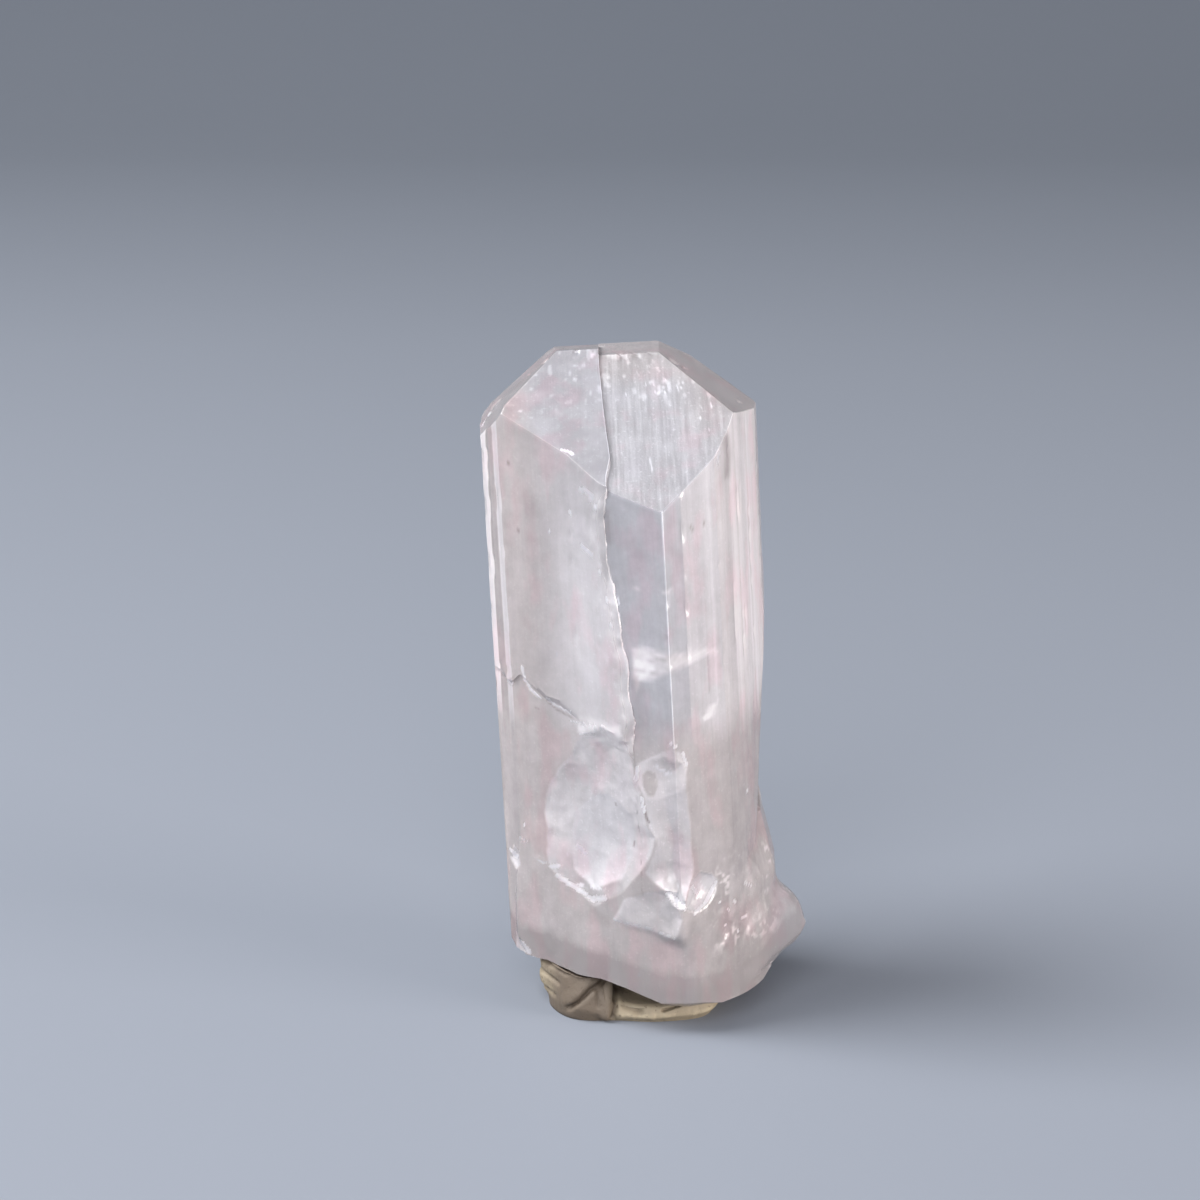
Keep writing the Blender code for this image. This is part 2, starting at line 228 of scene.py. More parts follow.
# Corner points of the spur at the foot's right
SPUR = [
    (11.72, -0.6, 6.6), (11.98, -1.0, 6.2), (12.08, -0.8, 5.4), (11.85, -1.1, 4.4), (11.25, -0.6, 3.6),
    (11.0, 0.9, 6.4), (11.0, -1.0, 6.85), (10.1, -0.7, 7.6), (10.4, -2.1, 5.6), (10.35, -1.8, 2.9),
    (10.1, 2.0, 6.9), (10.2, 1.9, 3.6), (9.4, -2.5, 6.6), (9.2, -3.2, 3.6), (8.0, 2.9, 8.6),
    (8.6, 3.4, 4.0), (9.2, -1.4, 8.8), (8.0, -3.0, 1.6), (7.0, 2.2, 2.0), (9.0, -1.0, 0.6),
    (7.6, -2.6, 9.5), (8.1, -4.9, 7.6), (7.8, -5.6, 5.0), (7.8, -5.3, 2.4), (0.0, -2.0, 4.0),
    (0.0, 2.0, 4.0),
]

# Seen from the front, the lowest outline of the broken foot
FOOT_OUTLINE = [
    (-12.0, 4.9), (-8.3, 4.8), (-7.75, 3.9), (-5.6, 3.95), (-3.7, 3.3), (-2.1, 2.95), (-0.4, 2.2),
    (1.9, 0.95), (3.8, 0.75), (5.95, 0.85), (7.4, 1.35), (8.8, 1.9), (9.5, 2.6), (10.25, 3.3),
    (11.2, 3.6), (11.85, 4.5), (12.8, 6.6), (14.5, 8.0),
]
FOOT_LOW_Y = -3.5
FOOT_BOW_FRONT = 0.055
FOOT_BOW_BACK = 0.022

# The broken foot is worn smooth in rounds, from its rim's first rows up to the height where it stops
WORN_ROUNDS = 30
WORN_ROWS = (1.0, 14.0)
WORN_HEIGHTS = (6.0, 10.0)

# Shell-shaped scars, from the first to break out to the last. Each has the way it faces in degrees, its
# outline as seen from there (across and up), its bed (how far out it lies at the outline's middle, and its
# slopes across and up), how far in from the rim it gets deep, its whiteness, and how pink it is. The
# surface that looks too far away from a scar's own way counts as far outside it.
SCAR_JAG = 0.16
SCAR_LEAST_FACING = 0.35
SCAR_FAR_OUTSIDE = 100.0
SCAR_SEED = 300
SCARS = {
    "big": (-90.0, [
        (-5.28, 14.5), (-5.12, 13.3), (-5.25, 11.6), (-5.1, 10.5), (-4.4, 9.8), (-3.4, 9.2), (-2.27, 8.5),
        (-1.5, 8.9), (-0.3, 9.8), (0.95, 11.2), (1.75, 12.6), (2.05, 13.7), (1.5, 14.6), (1.35, 15.8),
        (1.1, 17.4), (0.85, 18.6), (0.6, 20.1), (-1.1, 21.0), (-2.4, 20.3), (-3.2, 18.8), (-4.2, 17.5),
        (-4.8, 16.3),
    ], (5.4, 0.62, 0.0), 1.3, 0.66, 0.6),
    "big inner": (-90.0, [
        (-3.5, 12.6), (-3.25, 14.6), (-1.9, 16.0), (-0.9, 16.3), (0.6, 15.0), (0.9, 12.7), (-0.3, 10.5),
        (-2.2, 9.5), (-3.4, 10.6),
    ], (5.4, 0.62, 0.0), 1.2, 0.68, 0.45),
    "beige": (-90.0, [
        (1.15, 18.4), (1.9, 19.0), (2.9, 19.3), (4.2, 18.8), (4.2, 17.0), (4.35, 15.1), (4.4, 13.2),
        (4.5, 11.5), (3.9, 9.5), (3.2, 9.2), (2.7, 10.0), (1.9, 10.5), (1.25, 11.3), (1.85, 12.6),
        (2.15, 13.7), (1.6, 14.6), (1.4, 16.3),
    ], (8.15, -0.1, 0.04), 1.0, 0.5, 0.55),
    "right white": (-90.0, [
        (1.05, 18.8), (2.0, 19.25), (2.7, 19.6), (3.45, 20.0), (4.15, 19.5), (4.4, 18.6), (4.2, 17.0),
        (3.3, 16.6), (2.4, 16.2), (1.5, 16.2), (1.1, 17.2),
    ], (8.8, 0.2, 0.1), 0.8, 0.62, 0.65),
    "hollow": (-90.0, [
        (1.4, 18.0), (1.8, 18.3), (2.25, 18.05), (2.4, 17.2), (2.2, 16.45), (1.7, 16.5), (1.4, 17.1),
    ], (9.4, 0.0, 0.0), 0.7, 0.28, 0.95),
    "flake": (-90.0, [
        (4.2, 10.7), (4.9, 11.1), (5.65, 10.8), (6.1, 10.1), (5.8, 9.2), (5.15, 8.7), (4.5, 8.4), (3.8, 8.85),
        (3.9, 9.5),
    ], (7.55, -0.5, 0.0), 0.4, 0.6, 0.5),
    "wedge": (-90.0, [
        (2.6, 10.1), (3.5, 9.9), (4.0, 9.1), (3.4, 8.9), (2.9, 9.2),
    ], (8.6, 0.0, -0.4), 0.3, 0.7, 0.4),
    "flat": (-90.0, [
        (-1.0, 7.7), (-0.35, 9.3), (1.2, 9.9), (2.7, 10.1), (3.25, 9.0), (3.6, 8.2), (3.05, 6.75),
    ], (8.25, 0.3, 0.0), 0.6, 0.42, 0.65),
    "right low": (-52.0, [
        (1.4, 10.6), (3.4, 11.4), (5.2, 9.0), (5.0, 6.4), (3.0, 5.4), (1.2, 7.2),
    ], (9.2, 0.0, 0.0), 1.2, 0.28, 0.85),
    "left low": (-150.0, [
        (-3.4, 10.4), (-2.6, 11.5), (-1.8, 11.0), (-1.6, 10.3), (-2.4, 9.8),
    ], (6.9, 0.0, 0.0), 0.3, 0.6, 0.4),
    "left foot": (-140.0, [
        (-4.4, 4.0), (-4.2, 5.2), (-3.2, 5.0), (-2.8, 4.0), (-3.6, 3.2),
    ], (6.6, 0.0, 0.0), 0.3, 0.5, 0.6),
    "waist": (0.0, [
        (-1.8, 16.6), (-0.4, 18.0), (1.6, 18.4), (3.6, 17.6), (4.2, 16.4), (2.6, 15.4), (0.2, 15.3),
    ], (9.05, 0.0, 0.0), 0.8, 0.4, 0.7),
    "right side": (8.0, [
        (-1.2, 9.4), (0.0, 13.2), (2.2, 14.4), (4.4, 12.6), (4.8, 9.6), (3.0, 7.6), (0.4, 7.8),
    ], (9.6, 0.0, 0.0), 1.6, 0.45, 0.7),
    "back": (90.0, [
        (-8.0, 13.5), (-7.2, 17.2), (-5.0, 19.2), (-2.4, 18.2), (-1.2, 14.5), (-1.4, 10.5), (-3.0, 7.6),
        (-5.6, 7.2), (-7.6, 9.6),
    ], (8.0, 0.0, 0.0), 1.4, 0.6, 0.5),
    "back low": (90.0, [
        (1.8, 8.4), (2.6, 11.2), (4.6, 12.6), (6.8, 11.6), (7.6, 8.6), (6.4, 6.0), (4.2, 5.4), (2.4, 6.4),
    ], (6.5, -0.45, 0.0), 1.1, 0.6, 0.5),
}

# Fine relief in millimetres: how far it stands out or is cut in
GROWTH_CALM = 0.012
GROWTH_LINED = 0.045
GROWTH_FADE = (10.0, 20.0)
DOME_GROOVES = 0.02
DOME_PITS = 0.012
DOME_SWELL = 0.02
SEAM_TERRACES = 0.22
SCAR_HACKLES = 0.09
SCAR_SUNK = 0.06
SCAR_ROUGH = 0.04
EDGE_NICKS = 0.1
RIDGE_NICKS = 0.3
FOOT_SWELL = 0.14
FOOT_HACKLES = 0.12
FOOT_SUNK = 0.06
FOOT_CRUMBS = 0.05

# Edges that turn more than this are sharp, in degrees
SHARP_TURN = 24.0

# The putty in the floor's axes, in millimetres: half sizes, how square its plan is, height of the flat
# tongue, the least height, the gap to the crystal pressed into it, how far its wall is tucked in at the
# floor, and its heaps: height, middle, half widths, and how square each heap's plan is
PUTTY_SIZE = (6.1, 5.9)
PUTTY_SQUARENESS = 3.0
PUTTY_TONGUE = 1.4
PUTTY_LEAST = 0.25
PUTTY_CLEARANCE = 0.03
PUTTY_TUCK = 0.955
PUTTY_UNTUCK = 0.045
PUTTY_HEAPS = {
    "pinched lump": (6.0, (-4.6, -1.2), (2.8, 5.0), 4),
    "fold": (4.0, (-1.8, -3.6), (0.7, 2.2), 2),
    "heap behind": (7.0, (0.2, 1.9), (4.9, 3.7), 4),
}
PUTTY_TURNS = 480
PUTTY_FLOOR_ROWS = 10
PUTTY_WALL_ROWS = 34
PUTTY_TOP_ROWS = 40

# The backdrop paper in metres: front end, start of the bend, the bend's radius, upper end and half width
PAPER_FRONT = -0.9
PAPER_BEND = 0.45
PAPER_TURN = 0.5
PAPER_TOP = 1.6
PAPER_HALF_WIDTH = 1.6
PAPER_COLUMNS = 9

# The camera's sensor and what it looks at in millimetres, and its near and far limits in metres
SENSOR_WIDTH = 36.0
CAMERA_TARGET = (-2.3, 0.0, 27.7)
CLIP_RANGE = (0.01, 20.0)

# Area lights: place and size in metres, power in watts and colour. All face the same point.
LIGHTS_AIM = (0.0, 0.0, 0.02)
LIGHTS = {
    "key_light": ((-0.42, -0.05, 0.5), (0.45, 0.45), 8.5, "#fcfcff"),
    "right_light": ((0.6, -0.3, 0.12), (0.3, 0.25), 5.6, "#fff6f2"),
    "front_light": ((-0.15, -0.8, 0.45), (0.6, 0.6), 8.0, "#fcfbff"),
}
SURROUND_COLOUR = "#c4c9d2"
SURROUND_STRENGTH = 0.65


def smooth_step(value, low, high):
    """0 below low, 1 above high, and the smooth cubic between them."""
    t = np.clip((value - low) / (high - low), 0.0, 1.0)
    return t * t * (3.0 - 2.0 * t)


def bell(value, middle, width):
    """1 at the middle, falling to both sides as a bell of the given width."""
    return np.exp(-(((value - middle) / width) ** 2))


def lattice(ix, iy, iz, seed):
    """A number from 0 to 1 for each corner of a cubic lattice, scrambled from its three counts and the seed
    by multiplying with large odd numbers and folding the high bits back."""
    n = ix * 374761393 + iy * 668265263 + iz * 2147483647 + seed * 1274126177
    n = (n ^ (n >> 13)) * 1274126177
    n = (n ^ (n >> 16)) & 0xFFFF
    return n / 65535.0


def noise(points, size, seed):
    """Smooth noise from -1 to 1: lattice numbers one size apart, blended by the cubic step. The size may be
    one number or three."""
    scaled = points / np.asarray(size, float)
    cell = np.floor(scaled).astype(np.int64)
    part = scaled - cell
    part = part * part * (3.0 - 2.0 * part)
    total = np.zeros(points.shape[:-1])
    for corner in range(8):
        step = np.array([corner & 1, corner >> 1 & 1, corner >> 2 & 1])
        weight = np.prod(np.where(step == 1, part, 1.0 - part), axis=-1)
        total += weight * lattice(*np.moveaxis(cell + step, -1, 0), seed)
    return total * 2.0 - 1.0


def layered(points, size, seed, layers=4):
    """Sum of noises, each half the size and half the height of the one before, scaled back to -1 to 1."""
    size = np.asarray(size, float)
    total = sum(noise(points, size / 2 ** i, seed + i) / 2 ** i for i in range(layers))
    return total / (2.0 - 2.0 ** (1 - layers))


def plane(across, up):
    """Points of a flat pattern, with nothing as their third number."""
    return np.stack(np.broadcast_arrays(across, up, 0.0 * up), axis=-1)


def jag(along, size, seed):
    """Layered noise along a line."""
    along = np.asarray(along, float)
    return layered(plane(along, 0.0 * along), size, seed, layers=3)


def path_distance(x, z, path):
    """Distance to a path of straight pieces."""
    nearest = np.full(np.shape(x), np.inf)
    for (x0, z0), (x1, z1) in zip(path, path[1:]):
        run, rise = x1 - x0, z1 - z0
        along = np.clip(((x - x0) * run + (z - z0) * rise) / (run * run + rise * rise), 0.0, 1.0)
        nearest = np.minimum(nearest, np.hypot(x - x0 - along * run, z - z0 - along * rise))
    return nearest


def near_path(x, z, path, width):
    """1 on a path of straight pieces, falling off to its sides as a bell."""
    return bell(path_distance(x, z, path), 0.0, width)


def inside_distance(x, z, outline):
    """Distance to a closed outline, positive inside it and negative outside. A point is inside if a level
    line from it crosses an odd number of sides."""
    closed = outline + outline[:1]
    inside = np.zeros(np.shape(x), bool)
    for (x0, z0), (x1, z1) in zip(closed, closed[1:]):
        crossing = x0 + (z - z0) * (x1 - x0) / (z1 - z0 if z1 != z0 else 1.0)
        inside ^= ((z0 > z) != (z1 > z)) & (x < crossing)
    distance = path_distance(x, z, closed)
    return np.where(inside, distance, -distance)


def bowls(points, size, seed):
    """Small hollows with sharp ridges between them, from 0 to about 1: the squared distance to the nearest of
    the points that are scattered one to each cell of a cubic lattice."""
    scaled = points / np.asarray(size, float)
    cell = np.floor(scaled).astype(np.int64)
    nearest = np.full(points.shape[:-1], np.inf)
    for corner in range(27):
        near = cell + np.array([corner % 3, corner // 3 % 3, corner // 9]) - 1
        ix, iy, iz = np.moveaxis(near, -1, 0)
        spot = near + np.stack([lattice(ix, iy, iz, seed + axis) for axis in range(3)], axis=-1)
        nearest = np.minimum(nearest, np.sum((scaled - spot) ** 2, axis=-1))
    return nearest


def seam_x(z):
    """Place across of the broken seam at a height, with small jags below the domes."""
    xs, zs = np.array(SEAM).T
    ragged = SEAM_JAG * smooth_step(SEAM_SMOOTH_Z - z, 0.0, 2.0)
    return np.interp(z, zs, xs) + ragged * jag(z, size=0.9, seed=3)


def foot_height(x, y):
    """Height of the foot's underside: the front outline, rising parabolically to the front and the back."""
    xs, zs = np.array(FOOT_OUTLINE).T
    bow = np.where(y < FOOT_LOW_Y, FOOT_BOW_FRONT, FOOT_BOW_BACK)
    return np.interp(x, xs, zs) + bow * (y - FOOT_LOW_Y) ** 2


def top_heights(x, y, side):
    """Height of each face that closes a crystal above, stacked on a new first axis."""
    faces = [z0 + across * (x - x0) + inward * (y - y0) for (x0, y0, z0), across, inward in TOP_FACES[side]]
    return np.stack(np.broadcast_arrays(*faces))


def top_height(x, y, side):
    """Height of a crystal's closing faces: the lowest of them."""
    return top_heights(x, y, side).min(axis=0)


def hull_planes(points):
    """Outward normals of the faces of the convex solid on these corner points, and their distances from the
    axes' origin."""
    shape = bmesh.new()
    corners = [shape.verts.new(point) for point in points]
    bmesh.ops.convex_hull(shape, input=corners)
    shape.normal_update()
    normals = np.array([face.normal for face in shape.faces])
    places = np.array([face.verts[0].co for face in shape.faces])
    shape.free()
    middle = np.mean(points, axis=0)
    flip = np.where(np.sum(normals * (places - middle), axis=1) < 0, -1.0, 1.0)
    normals = normals * flip[:, None]
    return normals, np.sum(normals * places, axis=1)


def hull_reach(planes, directions, z):
    """How far a convex solid reaches from the upright axis in each level direction at a height: the least
    distance to a face ahead, and nothing where the axis itself is outside."""
    level = 1e-6
    normals, distances = planes
    slope = directions @ normals[:, :2].T
    room = distances - normals[:, 0] * AXIS[0] - normals[:, 1] * AXIS[1] - z[..., None] * normals[:, 2]
    ahead = np.where(slope > level, room / np.where(slope > level, slope, 1.0), np.inf)
    behind = np.where(slope < -level, room / np.where(slope < -level, slope, -1.0), -np.inf)
    flat = np.where((np.abs(slope) <= level) & (room < 0), -np.inf, np.inf)
    reach = np.minimum(ahead.min(axis=-1), flat.min(axis=-1))
    return np.where(behind.max(axis=-1) < reach, reach, 0.0)


def under_rim(x, z, rim, drop, lip, seed):
    """Depth of the bed behind a ragged rim seen from the front, and a share that is 1 below the rim and 0
    above it."""
    xs, beds, tops = np.array(rim).T
    top = np.interp(x, xs, tops) + RIM_JAG * jag(x, size=0.8, seed=seed)
    bed = np.interp(x, xs, beds) - lip * np.clip((z - top + drop) / drop, 0.0, 1.0)
    return bed, smooth_step(top - z, *RIM_STEP)


class Columns:
    """The columns of the crystal's rings: each stands between two guides, at a share of the way."""

    def __init__(self):
        counts = [guide[3] for guide in GUIDES]
        self.guide = np.repeat(np.arange(len(GUIDES)), counts)
        self.share = np.concatenate([np.arange(n) / n for n in counts])
        self.next = (self.guide + 1) % len(GUIDES)
        self.side = np.array([guide[2] for guide in GUIDES])
        self.count = len(self.guide)

    def between(self, values):
        """Values given at the guides, blended to the columns. The first axis is the guide."""
        share = self.share.reshape(-1, *[1] * (values.ndim - 1))
        return values[self.guide] * (1.0 - share) + values[self.next] * share


def guide_corners(which, z):
    """Place of guides on the prism outline at heights z. The two on the seam slide along their own faces."""
    x, y = np.array([GUIDES[guide][0] for guide in which]).T[..., None] + 0.0 * z
    seam = seam_x(z)
    (x0, y0), (x1, y1) = GUIDES[SEAM_FOOT][0], GUIDES[FRONT_EDGE][0]
    window = y0 + (seam + SEAM_GAP - x0) * (y1 - y0) / (x1 - x0)
    (x0, y0), (x1, y1) = GUIDES[SEAM_LIP - 1][0], GUIDES[SEAM_LIP][0]
    layer = y0 + (seam - SEAM_GAP - x0) * (y1 - y0) / (x1 - x0)
    at_foot = (which == SEAM_FOOT)[:, None]
    at_lip = (which == SEAM_LIP)[:, None]
    x = np.where(at_foot, seam + SEAM_GAP, np.where(at_lip, seam - SEAM_GAP, x))
    y = np.where(at_foot, window, np.where(at_lip, layer, y))
    return x, y


def wall(columns, z, lower, spur):
    """Points of the prism walls at heights z, one row for each column: straight between the guides, cut back
    by the taper, the outer layer's bed and the front break, and pushed out to the lower body and the spur."""
    x0, y0 = guide_corners(columns.guide, z)
    x1, y1 = guide_corners(columns.next, z)
    share = columns.share[:, None]
    x = x0 + (x1 - x0) * share
    y = y0 + (y1 - y0) * share

    left = (columns.guide >= FIRST_LEFT)[:, None]
    (x2, y2), (x3, y3) = GUIDES[SEAM_FOOT][0], GUIDES[FRONT_EDGE][0]
    window = y2 + (x - x2) * (y3 - y2) / (x3 - x2) - SEAM_STEP
    seam = seam_x(z)
    thinned = smooth_step(x, seam - SEAM_WEAR, seam - SEAM_WORN_OUT)
    thinned = thinned * smooth_step(SEAM_SMOOTH_Z - z, 0.0, 2.0)
    y = np.where(left & (y < FRONT_FACES_Y), y + thinned * (np.maximum(y, window) - y), y)
    bed, below = under_rim(x, z, LAYER_RIM, LAYER_DROP, LAYER_LIP, LAYER_SEED)
    y = np.where(left, np.maximum(y, y + below * (bed - y)), y)

    dx, dy = x - AXIS[0], y - AXIS[1]
    reach = np.hypot(dx, dy)
    direction = np.stack([dx, dy], axis=-1) / reach[..., None]
    (wide, wide_z), (narrow, narrow_z) = TAPER_FROM, TAPER_TO
    limit = wide - (wide_z - z) * (wide - narrow) / (wide_z - narrow_z) - AXIS[0]
    rightward, least = direction[..., 0], 0.05
    limit = np.where(rightward > least, limit / np.maximum(rightward, least), np.inf)
    reach = np.minimum(reach, limit)
    reach = np.maximum(reach, hull_reach(lower, direction, z))
    reach = np.maximum(reach, hull_reach(spur, direction, z))
    x = AXIS[0] + direction[..., 0] * reach
    y = AXIS[1] + direction[..., 1] * reach

    inside = (x > FRONT_BREAK_RIM[0][0]) & (x < FRONT_BREAK_RIM[-1][0]) & (y < BREAK_BEHIND_Y)
    bed, below = under_rim(x, z, FRONT_BREAK_RIM, BREAK_DROP, BREAK_LIP, BREAK_SEED)
    below *= smooth_step(x, *BREAK_FADES_IN) * (1.0 - smooth_step(x, *BREAK_FADES_OUT))
    y = np.where(inside, np.maximum(y, y + below * (bed - y)), y)
    return np.stack([x, y, z + 0.0 * x], axis=-1)


def first_crease(guide):
    """Share of the way up a guide, from the outline to the top, at which the closing face changes. A guide on
    one face alone gets a small share."""
    start, end, side, _ = guide
    way = np.linspace(0.0, 1.0, 401)
    x = start[0] + (end[0] - start[0]) * way
    y = start[1] + (end[1] - start[1]) * way
    face = top_heights(x, y, side).argmin(axis=0)
    changes = np.nonzero(np.diff(face))[0]
    if len(changes) and 0.02 < way[changes[0]] < 0.95:
        return way[changes[0]]
    return 0.12


def side_height(columns, x, y):
    """Height of the closing faces above points of the columns, blended across the seam. The columns are the
    last axis."""
    right = top_height(x, y, RIGHT)
    left = top_height(x, y, LEFT)
    first = np.where(columns.side[columns.guide] == RIGHT, right, left)
    second = np.where(columns.side[columns.next] == RIGHT, right, left)
    return first + (second - first) * columns.share


def crystal_grid(columns):
    """All rings of the crystal from under the foot to the summit, as an array of rows, columns and three
    axes. The foot's and the shoulder's heights depend on their places, so both are found in rounds."""
    lower = hull_planes(LOWER_BODY)
    spur = hull_planes(SPUR)
    side = columns.side[columns.guide]

    shoulder = np.full(columns.count, 38.0)
    foot = np.full(columns.count, 2.0)
    for _ in range(HEIGHT_ROUNDS):
        points = wall(columns, np.stack([foot, shoulder], axis=1), lower, spur)
        foot = foot_height(points[:, 0, 0], points[:, 0, 1])
        shoulder = side_height(columns, points[:, 1, 0], points[:, 1, 1])
    ring = points[:, 1]
    xs, _, tops = np.array(LAYER_RIM).T
    front = (ring[:, 1] < 0.0) & (side == LEFT)
    ledge = np.where(front, np.interp(ring[:, 0], xs, tops), ROW_LEDGE_RIGHT)
    back_share = smooth_step(ring[:, 1], -1.0, 5.0)
    ledge = np.where((side == LEFT) & ~front, ROW_LEDGE_LEFT - ROW_LEDGE_DROP * back_share, ledge)

    down = np.linspace(0.0, 1.0, ROWS_LOWER + 1)[:-1]
    up = np.linspace(0.0, 1.0, ROWS_UPPER + 1)
    foot, ledge, shoulder = foot[:, None], ledge[:, None], shoulder[:, None]
    heights = np.concatenate([foot + (ledge - foot) * down, ledge + (shoulder - ledge) * up], axis=1)
    body = wall(columns, heights, lower, spur).transpose(1, 0, 2)

    middle = np.array([*FOOT_CENTRE, 0.0])
    share = ((np.arange(ROWS_UNDER) + 0.35) / ROWS_UNDER)[:, None, None]
    under = middle + (body[0] - middle) * share
    under[..., 2] = foot_height(under[..., 0], under[..., 1])
    return np.concatenate([under, body, crystal_cap(columns, ring)])


def crystal_cap(columns, ring):
    """The rings of the closing faces: each column runs straight in plan from the shoulder ring to the top's
    outline and on to the summit, and the columns beside the seam bend with it."""
    ends = columns.between(np.array([guide[1] for guide in GUIDES]))
    crease = columns.between(np.array([first_crease(guide) for guide in GUIDES]))
    edge = np.linspace(0.0, 1.0, ROWS_EDGE + 1)[1:, None] * crease
    dome = crease + np.linspace(0.0, 1.0, ROWS_DOME + 1)[1:, None] * (1.0 - crease)
    way = np.concatenate([edge, dome])
    cap = ring[:, :2] + (ends - ring[:, :2]) * way[..., None]

    seam = np.interp(top_height(cap[..., 0], cap[..., 1], RIGHT), *np.array(SEAM).T[::-1])
    straight = ring[SEAM_FOOT, 0] + (ends[SEAM_FOOT, 0] - ring[SEAM_FOOT, 0]) * way
    closeness = np.zeros(len(GUIDES))
    closeness[[SEAM_FOOT, SEAM_LIP]] = 1.0
    cap[..., 0] += columns.between(closeness) * (seam - straight)

    top_way = np.linspace(0.0, 1.0, ROWS_TOP + 1)[1:-1, None, None]
    cap = np.concatenate([cap, ends + (np.array(SUMMIT) - ends) * top_way])
    z = side_height(columns, cap[..., 0], cap[..., 1])
    return np.concatenate([cap, z[..., None]], axis=-1)


def worn_smooth(grid, share, rounds):
    """The grid with each point moved half way to the mean of its four neighbours, as far as its share says,
    in a number of rounds, which rounds the edges of a broken foot."""
    for _ in range(rounds):
        around = np.roll(grid, 1, axis=1) + np.roll(grid, -1, axis=1)
        along = np.concatenate([grid[:1], grid[:-1]]) + np.concatenate([grid[1:], grid[-1:]])
        grid = grid + share[..., None] * (0.125 * (around + along) - 0.5 * grid)
    return grid


def scooped(points, scar, seed):
    """Points inside a scar's outline are pushed back towards its sloping bed, by a share of the way that
    grows from the rim: one minus the exponential of minus the distance in, over the scar's width. Noise
    makes the rim ragged. Also gives the distance in from the rim, which is far outside where the surface
    looks another way."""
    facing, outline, bed, width = scar[:4]
    turn = math.radians(facing)
    outward = np.array([math.cos(turn), math.sin(turn), 0.0])
    across = points @ np.array([-math.sin(turn), math.cos(turn), 0.0])
    up = points[..., 2]
    from_axis = points - np.array([*AXIS, 0.0])
    towards = from_axis @ outward / np.maximum(np.hypot(from_axis[..., 0], from_axis[..., 1]), 1e-9)
    inside = inside_distance(across, up, outline) + SCAR_JAG * layered(points, size=1.1, seed=seed)
    inside = np.where(towards > SCAR_LEAST_FACING, inside, -SCAR_FAR_OUTSIDE)
    middle = np.mean(outline, axis=0)
    bed_out = bed[0] + bed[1] * (across - middle[0]) + bed[2] * (up - middle[1])
    gap = np.maximum(points @ outward - bed_out, 0.0)
    depth = gap * (1.0 - np.exp(-np.maximum(inside, 0.0) / width))
    return points - depth[..., None] * outward, inside


def grid_normals(points):
    """Outward normals of a closed ring grid, from the differences between neighbours."""
    around = np.roll(points, -1, axis=1) - np.roll(points, 1, axis=1)
    along = np.gradient(points, axis=0)
    normal = np.cross(around, along)
    return normal / np.maximum(np.linalg.norm(normal, axis=-1, keepdims=True), 1e-12)


def ridge_share(points):
    """1 on sharp outer edges and 0 on flat or hollow ground: how far a point stands out from the middle of
    its neighbours along the ring, beside the distance to them."""
    before, after = np.roll(points, 1, axis=1), np.roll(points, -1, axis=1)
    around = np.sum((points - (before + after) / 2.0) * grid_normals(points), axis=-1)
    around /= np.maximum(np.linalg.norm(after - before, axis=-1), 1e-3)
    along = np.zeros(points.shape[:2])
    below, above = points[:-2], points[2:]
    along[1:-1] = np.sum((points[1:-1] - (below + above) / 2.0) * grid_normals(points)[1:-1], axis=-1)
    along[1:-1] /= np.maximum(np.linalg.norm(above - below, axis=-1), 1e-3)
    return smooth_step(np.maximum(around, along), 0.05, 0.16)


def leaned(points):
    """From the crystal's own axes in millimetres to the leaning crystal in metres."""
    cos, sin = math.cos(math.radians(LEAN)), math.sin(math.radians(LEAN))
    x, y, z = np.moveaxis(points, -1, 0)
    return np.stack([x * cos - z * sin, y, x * sin + z * cos], axis=-1) * MM


def ring_faces(rows, count):
    """Quads between neighbouring rings of equal length, and the triangles that close both ends to a pole. The
    lower pole is the point before the rings, and the upper pole the one after them."""
    row = np.arange(rows - 1)[:, None] * count
    this = np.arange(count)
    following = (this + 1) % count
    quads = np.stack([row + this, row + following, row + count + following, row + count + this], axis=-1)
    quads = quads.reshape(-1, 4) + 1
    last = (rows - 1) * count + 1
    lower = np.stack([np.zeros(count, int), following + 1, this + 1], axis=-1)
    upper = np.stack([np.full(count, rows * count + 1), last + this, last + following], axis=-1)
    return quads, lower, upper


def with_poles(value):
    """A grid's values in a row, with the first and the last repeated for the poles."""
    return np.pad(value.ravel(), 1, mode="edge")


def mesh_object(name, points, quads, triangles, values=None, places=None):
    """A mesh object from point, quad and triangle arrays, with values for each point kept as attributes and
    pattern places for each face corner kept as a UV map."""
    mesh = bpy.data.meshes.new(name)
    mesh.vertices.add(len(points))
    mesh.vertices.foreach_set("co", np.ascontiguousarray(points, np.float32).ravel())
    corners = np.concatenate([quads.ravel(), triangles.ravel()]).astype(np.int32)
    starts = np.concatenate([np.arange(len(quads)) * 4, len(quads) * 4 + np.arange(len(triangles)) * 3])
    mesh.loops.add(len(corners))
    mesh.loops.foreach_set("vertex_index", corners)
    mesh.polygons.add(len(starts))
    mesh.polygons.foreach_set("loop_start", starts.astype(np.int32))
    mesh.polygons.foreach_set("use_smooth", np.ones(len(starts), bool))
    mesh.update(calc_edges=True)
    for key, value in (values or {}).items():
        attribute = mesh.attributes.new(key, "FLOAT", "POINT")
        attribute.data.foreach_set("value", np.ascontiguousarray(value, np.float32))
    if places is not None:
        pattern = mesh.uv_layers.new(name="pattern")
        pattern.data.foreach_set("uv", np.ascontiguousarray(places, np.float32).ravel())
    piece = bpy.data.objects.new(name, mesh)
    bpy.context.collection.objects.link(piece)
    return piece


